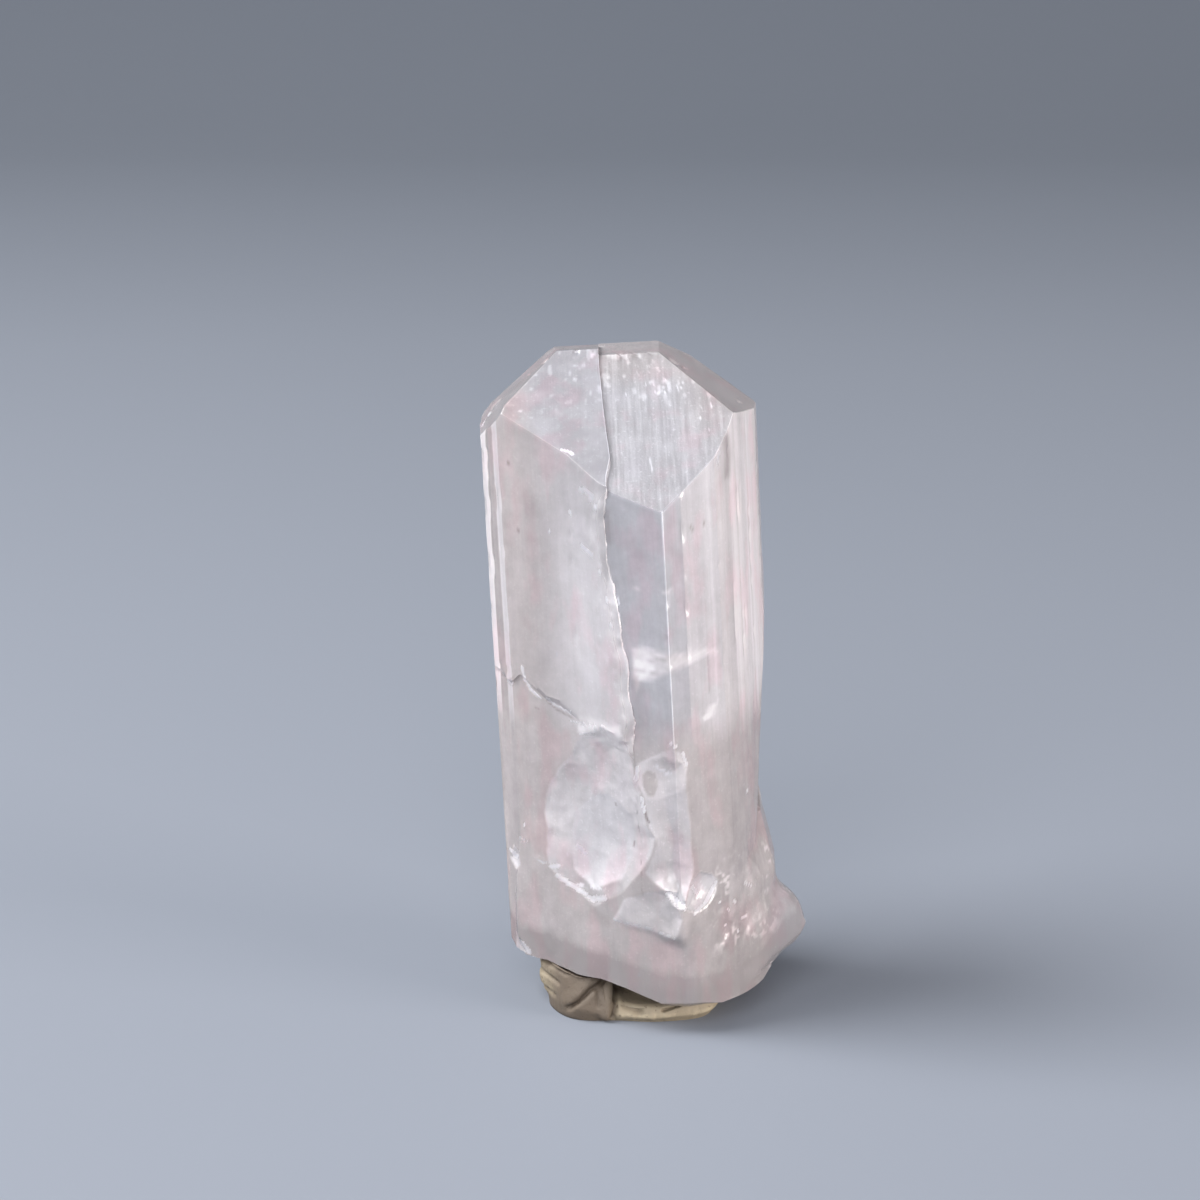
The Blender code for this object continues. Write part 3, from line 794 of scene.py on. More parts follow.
def linear(code):
    """An sRGB hex colour as linear RGBA."""
    channels = [int(code[i:i + 2], 16) / 255.0 for i in (1, 3, 5)]
    return tuple(c / 12.92 if c <= 0.04045 else ((c + 0.055) / 1.055) ** 2.4 for c in channels) + (1.0,)


def add_node(tree, kind, settings=None, inputs=None, links=None):
    """Adds a shader node with its settings, its input values, and links from other sockets to its inputs."""
    node = tree.nodes.new(kind)
    for key, value in (settings or {}).items():
        setattr(node, key, value)
    for key, value in (inputs or {}).items():
        node.inputs[key].default_value = value
    for key, socket in (links or {}).items():
        tree.links.new(socket, node.inputs[key])
    return node


def fresh_material(name):
    """An empty node material, its tree and its output node."""
    material = bpy.data.materials.new(name)
    material.use_nodes = True
    tree = material.node_tree
    tree.nodes.clear()
    output = add_node(tree, "ShaderNodeOutputMaterial")
    return material, tree, output


# Finish of the prism faces by the guide that each begins at: milk, frost, blush and how streaky. The two left
# faces then get milkier and less pink towards the seam. The high milk of the right faces is partly their
# cloudiness and partly painted light, for the light that passes through the crystal and comes out on its
# right, and the white of the bevel face and the pale line is a painted highlight.
FACE_FINISH = {
    SEAM_FOOT: (0.24, 0.1, 0.1, 0.03),
    FRONT_EDGE: (0.38, 0.1, 0.15, 0.05),
    2: (0.58, 0.3, 0.5, 0.15),
    3: (0.62, 0.3, 0.75, 0.3),
    4: (0.85, 0.3, 0.75, 0.3),
    5: (0.85, 0.3, 0.75, 0.25),
    6: (0.9, 0.3, 0.75, 0.3),
    7: (0.95, 0.35, 0.7, 0.35),
    8: (0.6, 0.3, 0.7, 0.4),
    9: (0.5, 0.3, 0.7, 0.4),
    LEFT_SIDE: (0.6, 0.3, 0.5, 0.3),
    BEVEL_FACE: (0.9, 0.3, 0.6, 0.25),
    DARK_STRIP: (0.15, 0.15, 1.0, 0.2),
    PALE_LINE: (0.7, 0.3, 0.6, 0.25),
    LEFT_FACE: (0.25, 0.2, 0.95, 0.05),
    MILKY_FACE: (0.25, 0.25, 0.95, 0.05),
}

# Bright lines up the right faces: place across, half width and whiteness
STREAKS = [(6.6, 0.1, 0.25), (7.3, 0.16, 0.15), (8.25, 0.16, 0.35), (8.62, 0.12, 0.25), (9.45, 0.25, 0.4)]

# The cloudy patch in the left prism, seen from the front: middle and half widths
CLOUD = ((-1.9, 27.5), (1.8, 6.5))

# White bruises and chips with painted glints among them, and dark specks with painted shade among them, seen
# from the front: path, half width and strength
WHITE_PATHS = [
    ([(7.5, 38.6), (7.3, 38.0)], 0.1, 0.9), ([(3.0, 38.4), (3.1, 37.9)], 0.08, 0.9),
    ([(-7.94, 39.95), (-7.7, 40.5)], 0.12, 1.3), ([(-7.58, 40.6), (-7.3, 40.95)], 0.1, 1.3),
    ([(-2.7, 39.3), (-2.3, 39.2), (-1.95, 39.05)], 0.1, 1.2),
    ([(-1.5, 36.9), (-0.9, 36.6), (-1.0, 36.2)], 0.18, 0.7),
    ([(-2.34, 35.25), (-2.3, 35.15)], 0.1, 1.1), ([(-0.7, 35.9), (-0.66, 35.8)], 0.1, 1.1),
    ([(-4.2, 35.1), (-4.15, 35.0)], 0.08, 1.0), ([(-3.8, 33.9), (-3.75, 33.8)], 0.08, 0.9),
    ([(-1.7, 33.1), (-1.1, 32.6)], 0.1, 0.8), ([(-0.8, 31.7), (-0.6, 31.5)], 0.08, 1.2),
    ([(-0.3, 29.9), (-0.2, 29.5)], 0.1, 1.2), ([(-0.14, 28.1), (-0.1, 28.0)], 0.1, 1.2),
    ([(-0.38, 27.2), (-0.3, 27.1)], 0.08, 1.1), ([(0.45, 29.9), (0.52, 28.6)], 0.07, 1.1),
    ([(-6.14, 24.4), (-6.0, 23.5), (-5.6, 22.75), (-5.06, 22.35)], 0.12, 1.0),
    ([(-4.6, 22.3), (-3.9, 21.85), (-3.1, 21.6)], 0.1, 0.8),
    ([(-3.1, 21.0), (-2.0, 20.9), (-0.9, 21.0)], 0.08, 0.9),
    ([(-2.6, 20.2), (-1.6, 20.3)], 0.06, 0.8), ([(-7.26, 23.0), (-6.84, 23.0)], 0.08, 1.0),
    ([(-7.75, 11.0), (-7.4, 10.6)], 0.16, 1.1), ([(-6.7, 13.3), (-6.65, 13.2)], 0.09, 1.1),
    ([(-7.0, 12.2), (-6.6, 12.1)], 0.07, 0.7), ([(-6.2, 11.1), (-5.3, 10.8)], 0.07, 0.9),
    ([(-5.0, 10.6), (-4.5, 10.7)], 0.14, 1.1), ([(-3.1, 12.2), (-2.7, 11.7)], 0.15, 0.9),
    ([(-4.6, 10.0), (-3.4, 9.4), (-2.3, 8.8), (-1.5, 9.1)], 0.16, 0.75),
    ([(1.3, 16.5), (1.45, 15.5)], 0.09, 1.4), ([(1.1, 18.4), (1.0, 17.6)], 0.12, 1.0),
    ([(4.15, 19.5), (4.35, 18.6)], 0.08, 1.0), ([(2.7, 9.9), (3.4, 9.2), (3.8, 8.9)], 0.16, 1.2),
    ([(5.9, 10.0), (5.1, 8.8), (4.4, 8.4)], 0.1, 1.1),
    ([(4.3, 10.2), (4.7, 9.3)], 0.07, 1.0), ([(-1.0, 7.75), (1.2, 7.4), (3.0, 6.8)], 0.05, 0.8),
    ([(6.1, 8.6), (6.15, 8.5)], 0.06, 1.1), ([(6.6, 7.9), (6.7, 7.8)], 0.07, 1.1),
    ([(7.1, 8.3), (7.15, 8.2)], 0.07, 1.1), ([(7.4, 6.8), (7.9, 6.95)], 0.06, 1.1),
    ([(6.4, 6.9), (6.5, 6.8)], 0.07, 1.1), ([(7.8, 9.2), (8.3, 8.8)], 0.06, 1.1),
    ([(8.3, 15.3), (8.3, 15.2)], 0.1, 1.0), ([(7.2, 6.2), (7.25, 6.1)], 0.1, 1.0),
    ([(3.4, 20.2), (3.7, 20.0)], 0.12, 1.1), ([(-7.3, 4.7), (-6.9, 4.2)], 0.2, 0.8),
]
# Dark specks, and painted shade: the groove beside the seam, the slot under the right dome's lower edge and
# the crease above the foot
DARK_PATHS = [
    ([(-6.23, 38.2), (-6.2, 38.15)], 0.07, 0.9), ([(-5.84, 33.7), (-5.8, 33.65)], 0.06, 0.8),
    ([(5.34, 34.3), (5.5, 34.0)], 0.09, 0.6), ([(6.26, 34.4), (6.27, 34.15)], 0.06, 0.8),
    ([(1.54, 15.4), (1.56, 15.1), (1.7, 14.8)], 0.06, 1.0), ([(-0.47, 15.55), (-0.4, 15.45)], 0.05, 0.9),
    ([(0.7, 13.2), (0.62, 12.8)], 0.04, 0.7), ([(-5.8, 24.4), (-5.6, 24.3)], 0.05, 0.6),
    ([(0.1, 35.6), (0.05, 34.2), (0.1, 33.6)], 0.16, 0.35),
    ([(-4.6, 22.15), (-3.9, 21.6), (-3.0, 21.25)], 0.06, 0.7), ([(-5.4, 21.6), (-5.2, 21.55)], 0.06, 0.5),
    ([(8.0, 39.3), (8.1, 38.2), (7.95, 36.9)], 0.24, 0.5), ([(-2.3, 8.1), (-1.4, 7.4)], 0.3, 0.25),
    ([(6.1, 25.4), (6.1, 23.0)], 0.05, 0.25), ([(1.3, 24.0), (1.5, 21.5)], 0.4, 0.18),
]

# Patches of small white flakes, seen from the front: outline, share covered, and how much wider than tall
FLAKES = [
    ([(-5.2, 43.1), (-3.9, 43.0), (-3.9, 41.0), (-4.6, 40.7), (-5.6, 41.4)], 0.38, 2.5),
    ([(-7.6, 41.2), (-5.6, 42.6), (-5.4, 41.6), (-7.0, 40.0)], 0.25, 0.6),
    ([(-0.75, 44.7), (-0.05, 44.7), (-0.05, 43.4), (-0.7, 43.3)], 0.7, 2.5),
    ([(2.4, 43.6), (3.4, 43.6), (3.9, 41.7), (2.6, 41.6)], 0.4, 0.5),
    ([(4.3, 42.2), (5.1, 42.1), (5.0, 41.4), (4.3, 41.4)], 0.6, 1.5),
    ([(5.6, 41.2), (7.8, 41.7), (7.9, 39.8), (6.6, 38.6), (5.8, 39.6)], 0.2, 0.7),
    ([(0.3, 43.4), (6.8, 43.2), (7.4, 41.4), (5.0, 40.4), (0.4, 40.8)], 0.14, 0.8),
    ([(-6.2, 24.6), (-5.7, 24.3), (-5.2, 22.4), (-5.9, 22.9)], 0.5, 0.5),
    ([(-1.8, 37.2), (-0.5, 37.2), (-0.6, 35.6), (-1.6, 35.8)], 0.3, 1.5),
    ([(-2.2, 33.4), (-0.8, 33.2), (-0.4, 31.2), (-1.4, 31.0)], 0.25, 1.0),
    ([(-0.9, 30.4), (0.4, 30.2), (0.7, 27.0), (0.0, 26.0), (-0.9, 27.4)], 0.2, 0.8),
    ([(-3.1, 21.5), (0.4, 21.4), (0.7, 19.4), (-1.2, 19.0), (-2.8, 20.0)], 0.35, 1.6),
    ([(-5.3, 14.6), (-3.9, 16.9), (-3.4, 16.2), (-4.8, 13.0)], 0.3, 2.0),
    ([(-5.2, 10.7), (-4.4, 9.8), (-2.2, 8.5), (-1.4, 9.0), (-0.3, 10.0), (-2.2, 10.3), (-4.2, 11.3)],
     0.3, 1.3),
    ([(1.6, 19.4), (4.1, 19.9), (4.2, 18.2), (2.9, 17.6), (2.1, 18.4)], 0.4, 1.0),
    ([(4.5, 10.5), (5.9, 10.9), (5.9, 9.6), (4.6, 8.6)], 0.4, 0.5),
    ([(8.0, 16.6), (8.8, 16.4), (8.7, 15.0), (8.0, 15.2)], 0.25, 1.0),
]

# Healed cracks just under the front faces, seen from the front: outline and whiteness
WISPS = [
    ([(1.2, 26.5), (1.9, 26.8), (2.8, 26.5), (4.3, 26.15), (5.6, 26.1), (6.7, 26.0), (6.8, 25.4),
      (5.9, 25.3), (4.9, 25.1), (3.7, 25.0), (2.6, 24.4), (1.7, 24.2), (1.3, 23.3), (1.1, 24.6)], 0.38),
    ([(1.3, 25.9), (2.2, 25.9), (2.9, 25.4), (2.2, 24.7), (1.5, 24.4), (1.3, 25.0)], 0.4),
    ([(6.7, 22.4), (5.9, 22.1), (5.3, 21.3), (5.5, 20.6), (6.0, 21.2), (6.4, 21.4)], 0.6),
    ([(1.4, 30.8), (2.0, 30.6), (2.0, 30.3), (1.4, 30.4)], 0.25),
    ([(3.3, 30.5), (4.1, 30.5), (4.1, 30.2), (3.3, 30.2)], 0.35),
    ([(-3.0, 21.6), (0.2, 21.4), (0.6, 19.6), (-1.4, 19.4), (-2.8, 20.2)], 0.35),
]


class Marks:
    """Where each point of the crystal lies: its face, its distance along the outline, and its band of
    rows."""

    def __init__(self, grid, columns):
        x, y, z = np.moveaxis(grid, -1, 0)
        self.x, self.y, self.z = x, y, z
        level = grid[ROWS_UNDER + ROWS_LOWER + ROWS_UPPER // 2]
        self.step = np.linalg.norm(np.roll(level, -1, axis=0)[:, :2] - level[:, :2], axis=1)
        self.along = np.concatenate([[0.0], np.cumsum(self.step)[:-1]])
        widths = np.array([self.step[columns.guide == guide].sum() for guide in range(len(GUIDES))])
        width = widths[columns.guide]
        self.from_edge = columns.share * width
        self.to_next = (1.0 - columns.share) * width
        self.to_edge = np.minimum(columns.share, 1.0 - columns.share) * width
        self.face = columns.guide
        self.side = columns.side[columns.guide]
        row = np.arange(grid.shape[0])[:, None]
        self.cap = np.broadcast_to(row >= FIRST_CAP_ROW, x.shape)
        self.prism = np.where(self.cap | (row < ROWS_UNDER), 0.0, 1.0)
        self.front = y < RIDGE_Y
        self.left_front = (self.side == LEFT) & self.front & ~self.cap
        self.seam = seam_x(z) - x
        right_closing, left_closing = (top_heights(x, y, side).argmin(axis=0) for side in (RIGHT, LEFT))
        closing = np.where(self.side == RIGHT, right_closing, left_closing)
        dome = self.cap & (closing == 0) & (y < RIDGE_Y + 0.05)
        self.right_dome = dome & (self.side == RIGHT)
        self.left_dome = dome & (self.side == LEFT)


def relief(grid, marks, scars):
    """Height of the fine relief at each point, outward, as a sum: growth lines along the prism, grooves and
    pits in the domes, terraces beside the broken seam, hackles in the scars, nicks in the edges, and the
    swells and hackles of the broken foot."""
    x, y, z = marks.x, marks.y, marks.z
    scarred = smooth_step(np.max(list(scars.values()), axis=0), 0.0, 0.3)
    unscarred = 1.0 - scarred

    calm = np.isin(marks.face, CALM_FACES)
    growth = layered(plane(marks.along, 0.015 * z), size=0.9, seed=21)
    growth_height = np.where(calm, GROWTH_CALM, GROWTH_LINED)
    height = marks.prism * unscarred * smooth_step(z, *GROWTH_FADE) * growth * growth_height

    grooves = layered(plane(x, 0.05 * z), size=0.2, seed=31, layers=3)
    pits = layered(grid, size=0.5, seed=35, layers=2)
    height += np.where(marks.right_dome, DOME_GROOVES * grooves + DOME_PITS * pits, 0.0)
    height += np.where(marks.left_dome, DOME_SWELL * layered(grid, size=1.6, seed=37, layers=3), 0.0)

    ragged = smooth_step(z, 19.0, 21.0) * smooth_step(SEAM_SMOOTH_Z - z, 0.0, 1.5)
    beside = np.exp(-np.maximum(marks.seam, 0.0) / 0.55) * ragged
    terraces = bowls(grid * np.array([1.0, 1.0, 0.55]), size=0.8, seed=41)
    height -= np.where(marks.left_front, beside * SEAM_TERRACES * terraces, 0.0)

    hackles = bowls(grid, size=1.5, seed=61) + 0.35 * bowls(grid, size=0.6, seed=65)
    rough = SCAR_HACKLES * hackles - SCAR_SUNK + SCAR_ROUGH * layered(grid, size=0.9, seed=67, layers=3)
    height += scarred * np.where(marks.cap, 0.0, rough)

    nick = smooth_step(noise(plane(z, 2.0 * marks.along), size=(0.8, 2.0, 1.0), seed=71), 0.25, 0.8)
    sharp = smooth_step(z, 21.0, 24.0) * marks.prism
    height -= sharp * bell(marks.to_edge, 0.0, 0.16) * nick * EDGE_NICKS
    ridge_nick = np.maximum(noise(plane(x, z), size=0.5, seed=72) - 0.1, 0.0)
    height -= np.where(marks.cap, bell(y, RIDGE_Y, 0.25) * ridge_nick * RIDGE_NICKS, 0.0)

    broken = 1.0 - smooth_step(z, 6.0, 14.0)
    right_low = smooth_step(x, 4.0, 6.5) * (1.0 - smooth_step(x, 8.4, 9.4))
    right_low *= (1.0 - smooth_step(z, 10.0, 14.0)) * smooth_step(z, 4.0, 6.0)
    swell = FOOT_SWELL * layered(grid, size=3.2, seed=81, layers=3)
    hackly = FOOT_HACKLES * bowls(grid, size=1.3, seed=83) - FOOT_SUNK
    hackly += FOOT_CRUMBS * bowls(grid, size=0.5, seed=85)
    height += np.where(marks.cap, 0.0, unscarred * (broken * swell + right_low * hackly))
    return height


class Finish:
    """The crystal's finish at each point, mostly from 0 to 1: milk for cloudiness, frost for roughness, blush
    for the pink tinge, and a darkening for dark specks and for painted shade in a groove, a slot and a
    crease."""

    def __init__(self, shape):
        self.milk = np.full(shape, 0.7)
        self.blush = np.full(shape, 0.6)
        self.frost = np.full(shape, 0.35)
        self.stain_and_shade = np.zeros(shape)

    def whiten(self, mark, white, frosted, paled):
        """Lays a mark over the finish: the greater milk and frost of both, and a share less pink."""
        self.milk = np.maximum(self.milk, white * mark)
        self.frost = np.maximum(self.frost, frosted * mark)
        self.blush = self.blush * (1.0 - paled * mark)


def paint_walls(finish, marks, drift):
    """The prism: the finish of each face, lines along it, and the clearer and pinker lower body."""
    x, z = marks.x, marks.z
    streaky = np.full(x.shape, 0.3)
    for which, (milky, rough, pink, lined) in FACE_FINISH.items():
        here = marks.face == which
        finish.milk[:, here] = milky
        finish.frost[:, here] = rough
        finish.blush[:, here] = pink
        streaky[:, here] = lined
    left_faces = np.isin(marks.face, (LEFT_FACE, MILKY_FACE))
    towards_seam = np.where(left_faces, smooth_step(x, -6.0, -1.5), 0.0)
    finish.milk += 0.11 * towards_seam
    finish.blush -= 0.4 * towards_seam

    wide_lines = layered(plane(marks.along, 0.012 * z), size=0.8, seed=93, layers=2)
    thin_lines = layered(plane(marks.along, 0.03 * z), size=0.26, seed=94, layers=2)
    finish.milk += streaky * (0.5 * wide_lines + 0.25 * thin_lines)
    wavy_x = x + 0.05 * jag(z, size=3.0, seed=98)
    unevenness = 0.75 + 0.4 * jag(z, size=1.7, seed=99)
    for line_x, width, white in STREAKS:
        mark = bell(wavy_x, line_x, width) * smooth_step(z, 21.0, 25.0) * (marks.side == RIGHT)
        finish.milk += np.where(marks.front, white * mark * unevenness, 0.0)

    low = (1.0 - smooth_step(z + 0.8 * drift, 19.0, 22.5)) * np.where(marks.cap, 0.0, 1.0)
    finish.milk += low * (0.3 - 0.1 * smooth_step(x, 5.0, 7.0) - finish.milk)
    finish.blush += low * (0.9 - finish.blush)
    finish.frost += low * (0.3 - finish.frost)
    finish.milk += 0.16 * drift


def paint_foot(finish, marks):
    """The broken foot: a clearer spur, crushed white patches at the front right, and a darker underside."""
    x, z = marks.x, marks.z
    spur = smooth_step(x, 8.6, 10.6) * (1.0 - smooth_step(z, 7.6, 9.0))
    finish.milk -= 0.08 * spur
    finish.blush -= 0.6 * spur
    right_low = smooth_step(x, 5.0, 6.5) * smooth_step(z, 4.5, 6.0)
    right_low = right_low * (1.0 - smooth_step(z, 10.0, 12.0)) * (1.0 - spur)
    places = plane(marks.along, z)
    crushed = noise(places, size=0.9, seed=102) + 0.9 * noise(places, size=0.22, seed=103)
    finish.milk += np.where(marks.front, 0.7 * right_low * smooth_step(crushed, 0.4, 1.0), 0.0)
    above_foot = smooth_step(z - foot_height(x, marks.y), 0.0, 2.6)
    finish.milk -= np.where(marks.cap, 0.0, 1.0 - above_foot)


def paint_seam(finish, marks, grid):
    """The cloud in the left prism, the white break beside the seam with painted glints in it, and the bright
    line of the front edge."""
    x, z = marks.x, marks.z
    (mid_x, mid_z), (half_x, half_z) = CLOUD
    cloud = bell(x, mid_x, half_x) * bell(z, mid_z, half_z)
    finish.milk += np.where(marks.left_front, 0.3 * cloud, 0.0)
    ragged = smooth_step(z, 18.0, 20.5) * smooth_step(38.0 - z, 0.0, 2.0)
    beside = np.exp(-np.maximum(marks.seam, 0.0) / 0.8) * ragged
    # Painted glints: white spots in the break beside the seam
    glint_spots = smooth_step(noise(grid, size=0.4, seed=95), 0.2, 0.6)
    whiteness = beside * (0.2 + 0.5 * glint_spots + 0.5 * layered(grid, size=1.1, seed=89, layers=3))
    finish.milk += np.where(marks.left_front, whiteness, 0.0)
    finish.frost += np.where(marks.left_front, beside * 0.4, 0.0)

    line = bell(np.where(marks.face == FRONT_EDGE, marks.from_edge, marks.to_next), 0.0, 0.09)
    line = np.where(np.isin(marks.face, (SEAM_FOOT, FRONT_EDGE)), line, 0.0) * smooth_step(z, 18.5, 20.5)
    line = np.where(marks.cap, 0.0, line)
    finish.whiten(line, white=0.72 + 0.4 * jag(z, size=2.0, seed=90), frosted=0.5, paled=0.0)


def paint_top(finish, marks, drift, grid):
    """The closing faces: a frosted, finely scratched right dome and a clearer left one, both with white
    spots. Their milk is kept low, painted shade that evens out the light they catch from above, and the seam
    lip's strip on top is painted white, painted light over the shade of its step."""
    x, z = marks.x, marks.z
    # Painted shade: the closing faces are kept low in milk, darker, against the light from above
    finish.milk = np.where(marks.cap, 0.28 + 0.12 * drift, finish.milk)
    finish.blush = np.where(marks.cap, 0.7, finish.blush)
    spots = smooth_step(noise(grid * np.array([1.4, 1.0, 0.7]), size=0.45, seed=97), 0.45, 0.75)
    spots = spots * smooth_step(z, 40.0, 43.0)
    scratches = layered(grid * np.array([1.0, 0.0, 0.1]), size=0.13, seed=96, layers=3)
    patches = layered(grid, size=1.5, seed=92, layers=3)

    right_milk = 0.14 + 0.5 * spots + 0.12 * patches + 0.2 * scratches
    finish.milk = np.where(marks.right_dome, right_milk, finish.milk)
    finish.frost = np.where(marks.right_dome, 0.75, finish.frost)
    cream = smooth_step(x, 4.0, 7.0) * smooth_step(z, 38.0, 42.0) + smooth_step(z, 42.0, 43.5)
    finish.blush = np.where(marks.right_dome, 0.1 + 0.5 * np.minimum(cream, 1.0), finish.blush)

    finish.milk = np.where(marks.left_dome, 0.13 + 0.15 * patches + 0.3 * spots, finish.milk)
    # Painted light: the seam lip's strip on top is whitened over the shade of its step
    finish.milk = np.where(marks.cap & (marks.face == SEAM_LIP), 0.9, finish.milk)
    finish.blush = np.where(marks.left_dome, 0.05 + 0.75 * smooth_step(-x, 3.6, 6.4), finish.blush)
    finish.frost = np.where(marks.left_dome, 0.4, finish.frost)


def paint_scars(finish, marks, scars, drift, grid):
    """Each scar's own whiteness and pink, uneven, with a paler rim except around the hollow. The big scar is
    darker towards its lower rim: painted shade against the light that its upturned lower floor catches."""
    patchy = 0.3 * layered(grid, size=1.8, seed=101)
    bright = smooth_step(0.5 * drift + 0.2, -0.2, 0.4)
    for key, inside in scars.items():
        white, pink = SCARS[key][4:]
        share = smooth_step(inside, -0.05, 0.12)
        rim = np.exp(-np.maximum(inside, 0.0) / 0.45) * bright
        rim_white = 0.0 if key == "hollow" else 0.15
        finish.milk += share * (white + patchy + rim_white * rim - finish.milk)
        finish.frost += share * (0.45 - finish.frost)
        finish.blush += share * (pink - finish.blush)
        if key == "big":
            # Painted shade: the big scar's lower part is darkened, as its floor faces up to the light
            finish.milk -= 0.45 * share * (1.0 - smooth_step(marks.z, 9.5, 12.0))


def paint_marks(finish, marks, grid):
    """White bruises along paths with painted glints among them, patches of flakes, fibrous healed cracks, and
    dark specks with painted shade among them.
    """
    x, z = marks.x, marks.z
    frayed = 0.45 * layered(grid, size=0.5, seed=105, layers=3)
    # White bruises and chips, and painted glints: small highlights drawn as white spots
    for path, width, white in WHITE_PATHS:
        mark = np.where(marks.front, near_path(x, z, path, width), 0.0)
        mark = smooth_step(mark + frayed, 0.3, 0.75)
        finish.whiten(mark, white=0.85 * white, frosted=0.8, paled=0.6)
    for number, (outline, cover, wide) in enumerate(FLAKES):
        flat = plane(x / wide, z)
        grains = layered(flat, size=0.3, seed=120 + number, layers=3)
        grains += 0.25 * noise(flat, size=0.6, seed=150 + number)
        inside = inside_distance(x, z, outline)
        mark = smooth_step(grains, 0.7 - cover, 0.95 - cover) * smooth_step(inside, -0.1, 0.4)
        finish.whiten(np.where(marks.front, mark, 0.0), white=1.0, frosted=0.0, paled=0.5)
    torn = 0.2 * layered(grid, size=0.9, seed=107)
    fibres = layered(plane(0.25 * x, z - 0.12 * x), size=0.3, seed=109, layers=3)
    for outline, white in WISPS:
        inside = inside_distance(x, z, outline) + torn
        mark = np.where(marks.front & ~marks.cap, smooth_step(inside, -0.1, 0.3), 0.0)
        finish.milk += mark * white * (1.0 + 1.3 * fibres)
        finish.blush += mark * (0.6 - finish.blush)
    # Dark specks, and painted shade in the groove beside the seam, the slot under the right dome and the
    # crease above the foot
    for path, width, dark in DARK_PATHS:
        dark_mark = np.where(marks.front, dark * near_path(x, z, path, width), 0.0)
        finish.stain_and_shade = np.maximum(finish.stain_and_shade, dark_mark)


def paint(marks, scars, grid):
    """The crystal's whole finish. The drift is slow noise, drawn out along the prism, that unsettles each
    part."""
    finish = Finish(grid.shape[:2])
    drift = layered(grid * np.array([1.0, 1.0, 0.35]), size=2.4, seed=91, layers=3)
    paint_walls(finish, marks, drift)
    paint_foot(finish, marks)
    paint_seam(finish, marks, grid)
    paint_top(finish, marks, drift, grid)
    paint_scars(finish, marks, scars, drift, grid)
    paint_marks(finish, marks, grid)
    return finish


def pattern_places(grid, marks):
    """Where the streak pattern lies at each face corner, in millimetres: along the outline on the walls and
    straight across on the closing faces, and up in both."""
    rows, count = grid.shape[:2]
    left = np.broadcast_to(marks.along, (rows - 1, count))
    right = left + marks.step
    x, z = grid[..., 0], grid[..., 2]
    cap = (np.arange(rows - 1) >= FIRST_CAP_ROW - 1)[:, None]
    shift = 100.0
    next_x = np.roll(x, -1, axis=1)
    next_z = np.roll(z, -1, axis=1)
    across = [
        np.where(cap, x[:-1] + shift, left), np.where(cap, next_x[:-1] + shift, right),
        np.where(cap, next_x[1:] + shift, right), np.where(cap, x[1:] + shift, left),
    ]
    up = [z[:-1], next_z[:-1], next_z[1:], z[1:]]
    quads = np.stack([np.stack(across, axis=-1), np.stack(up, axis=-1)], axis=-1).reshape(-1, 2)
    poles = np.tile([shift, 0.0], (count * 6, 1))
    return np.concatenate([quads, poles])


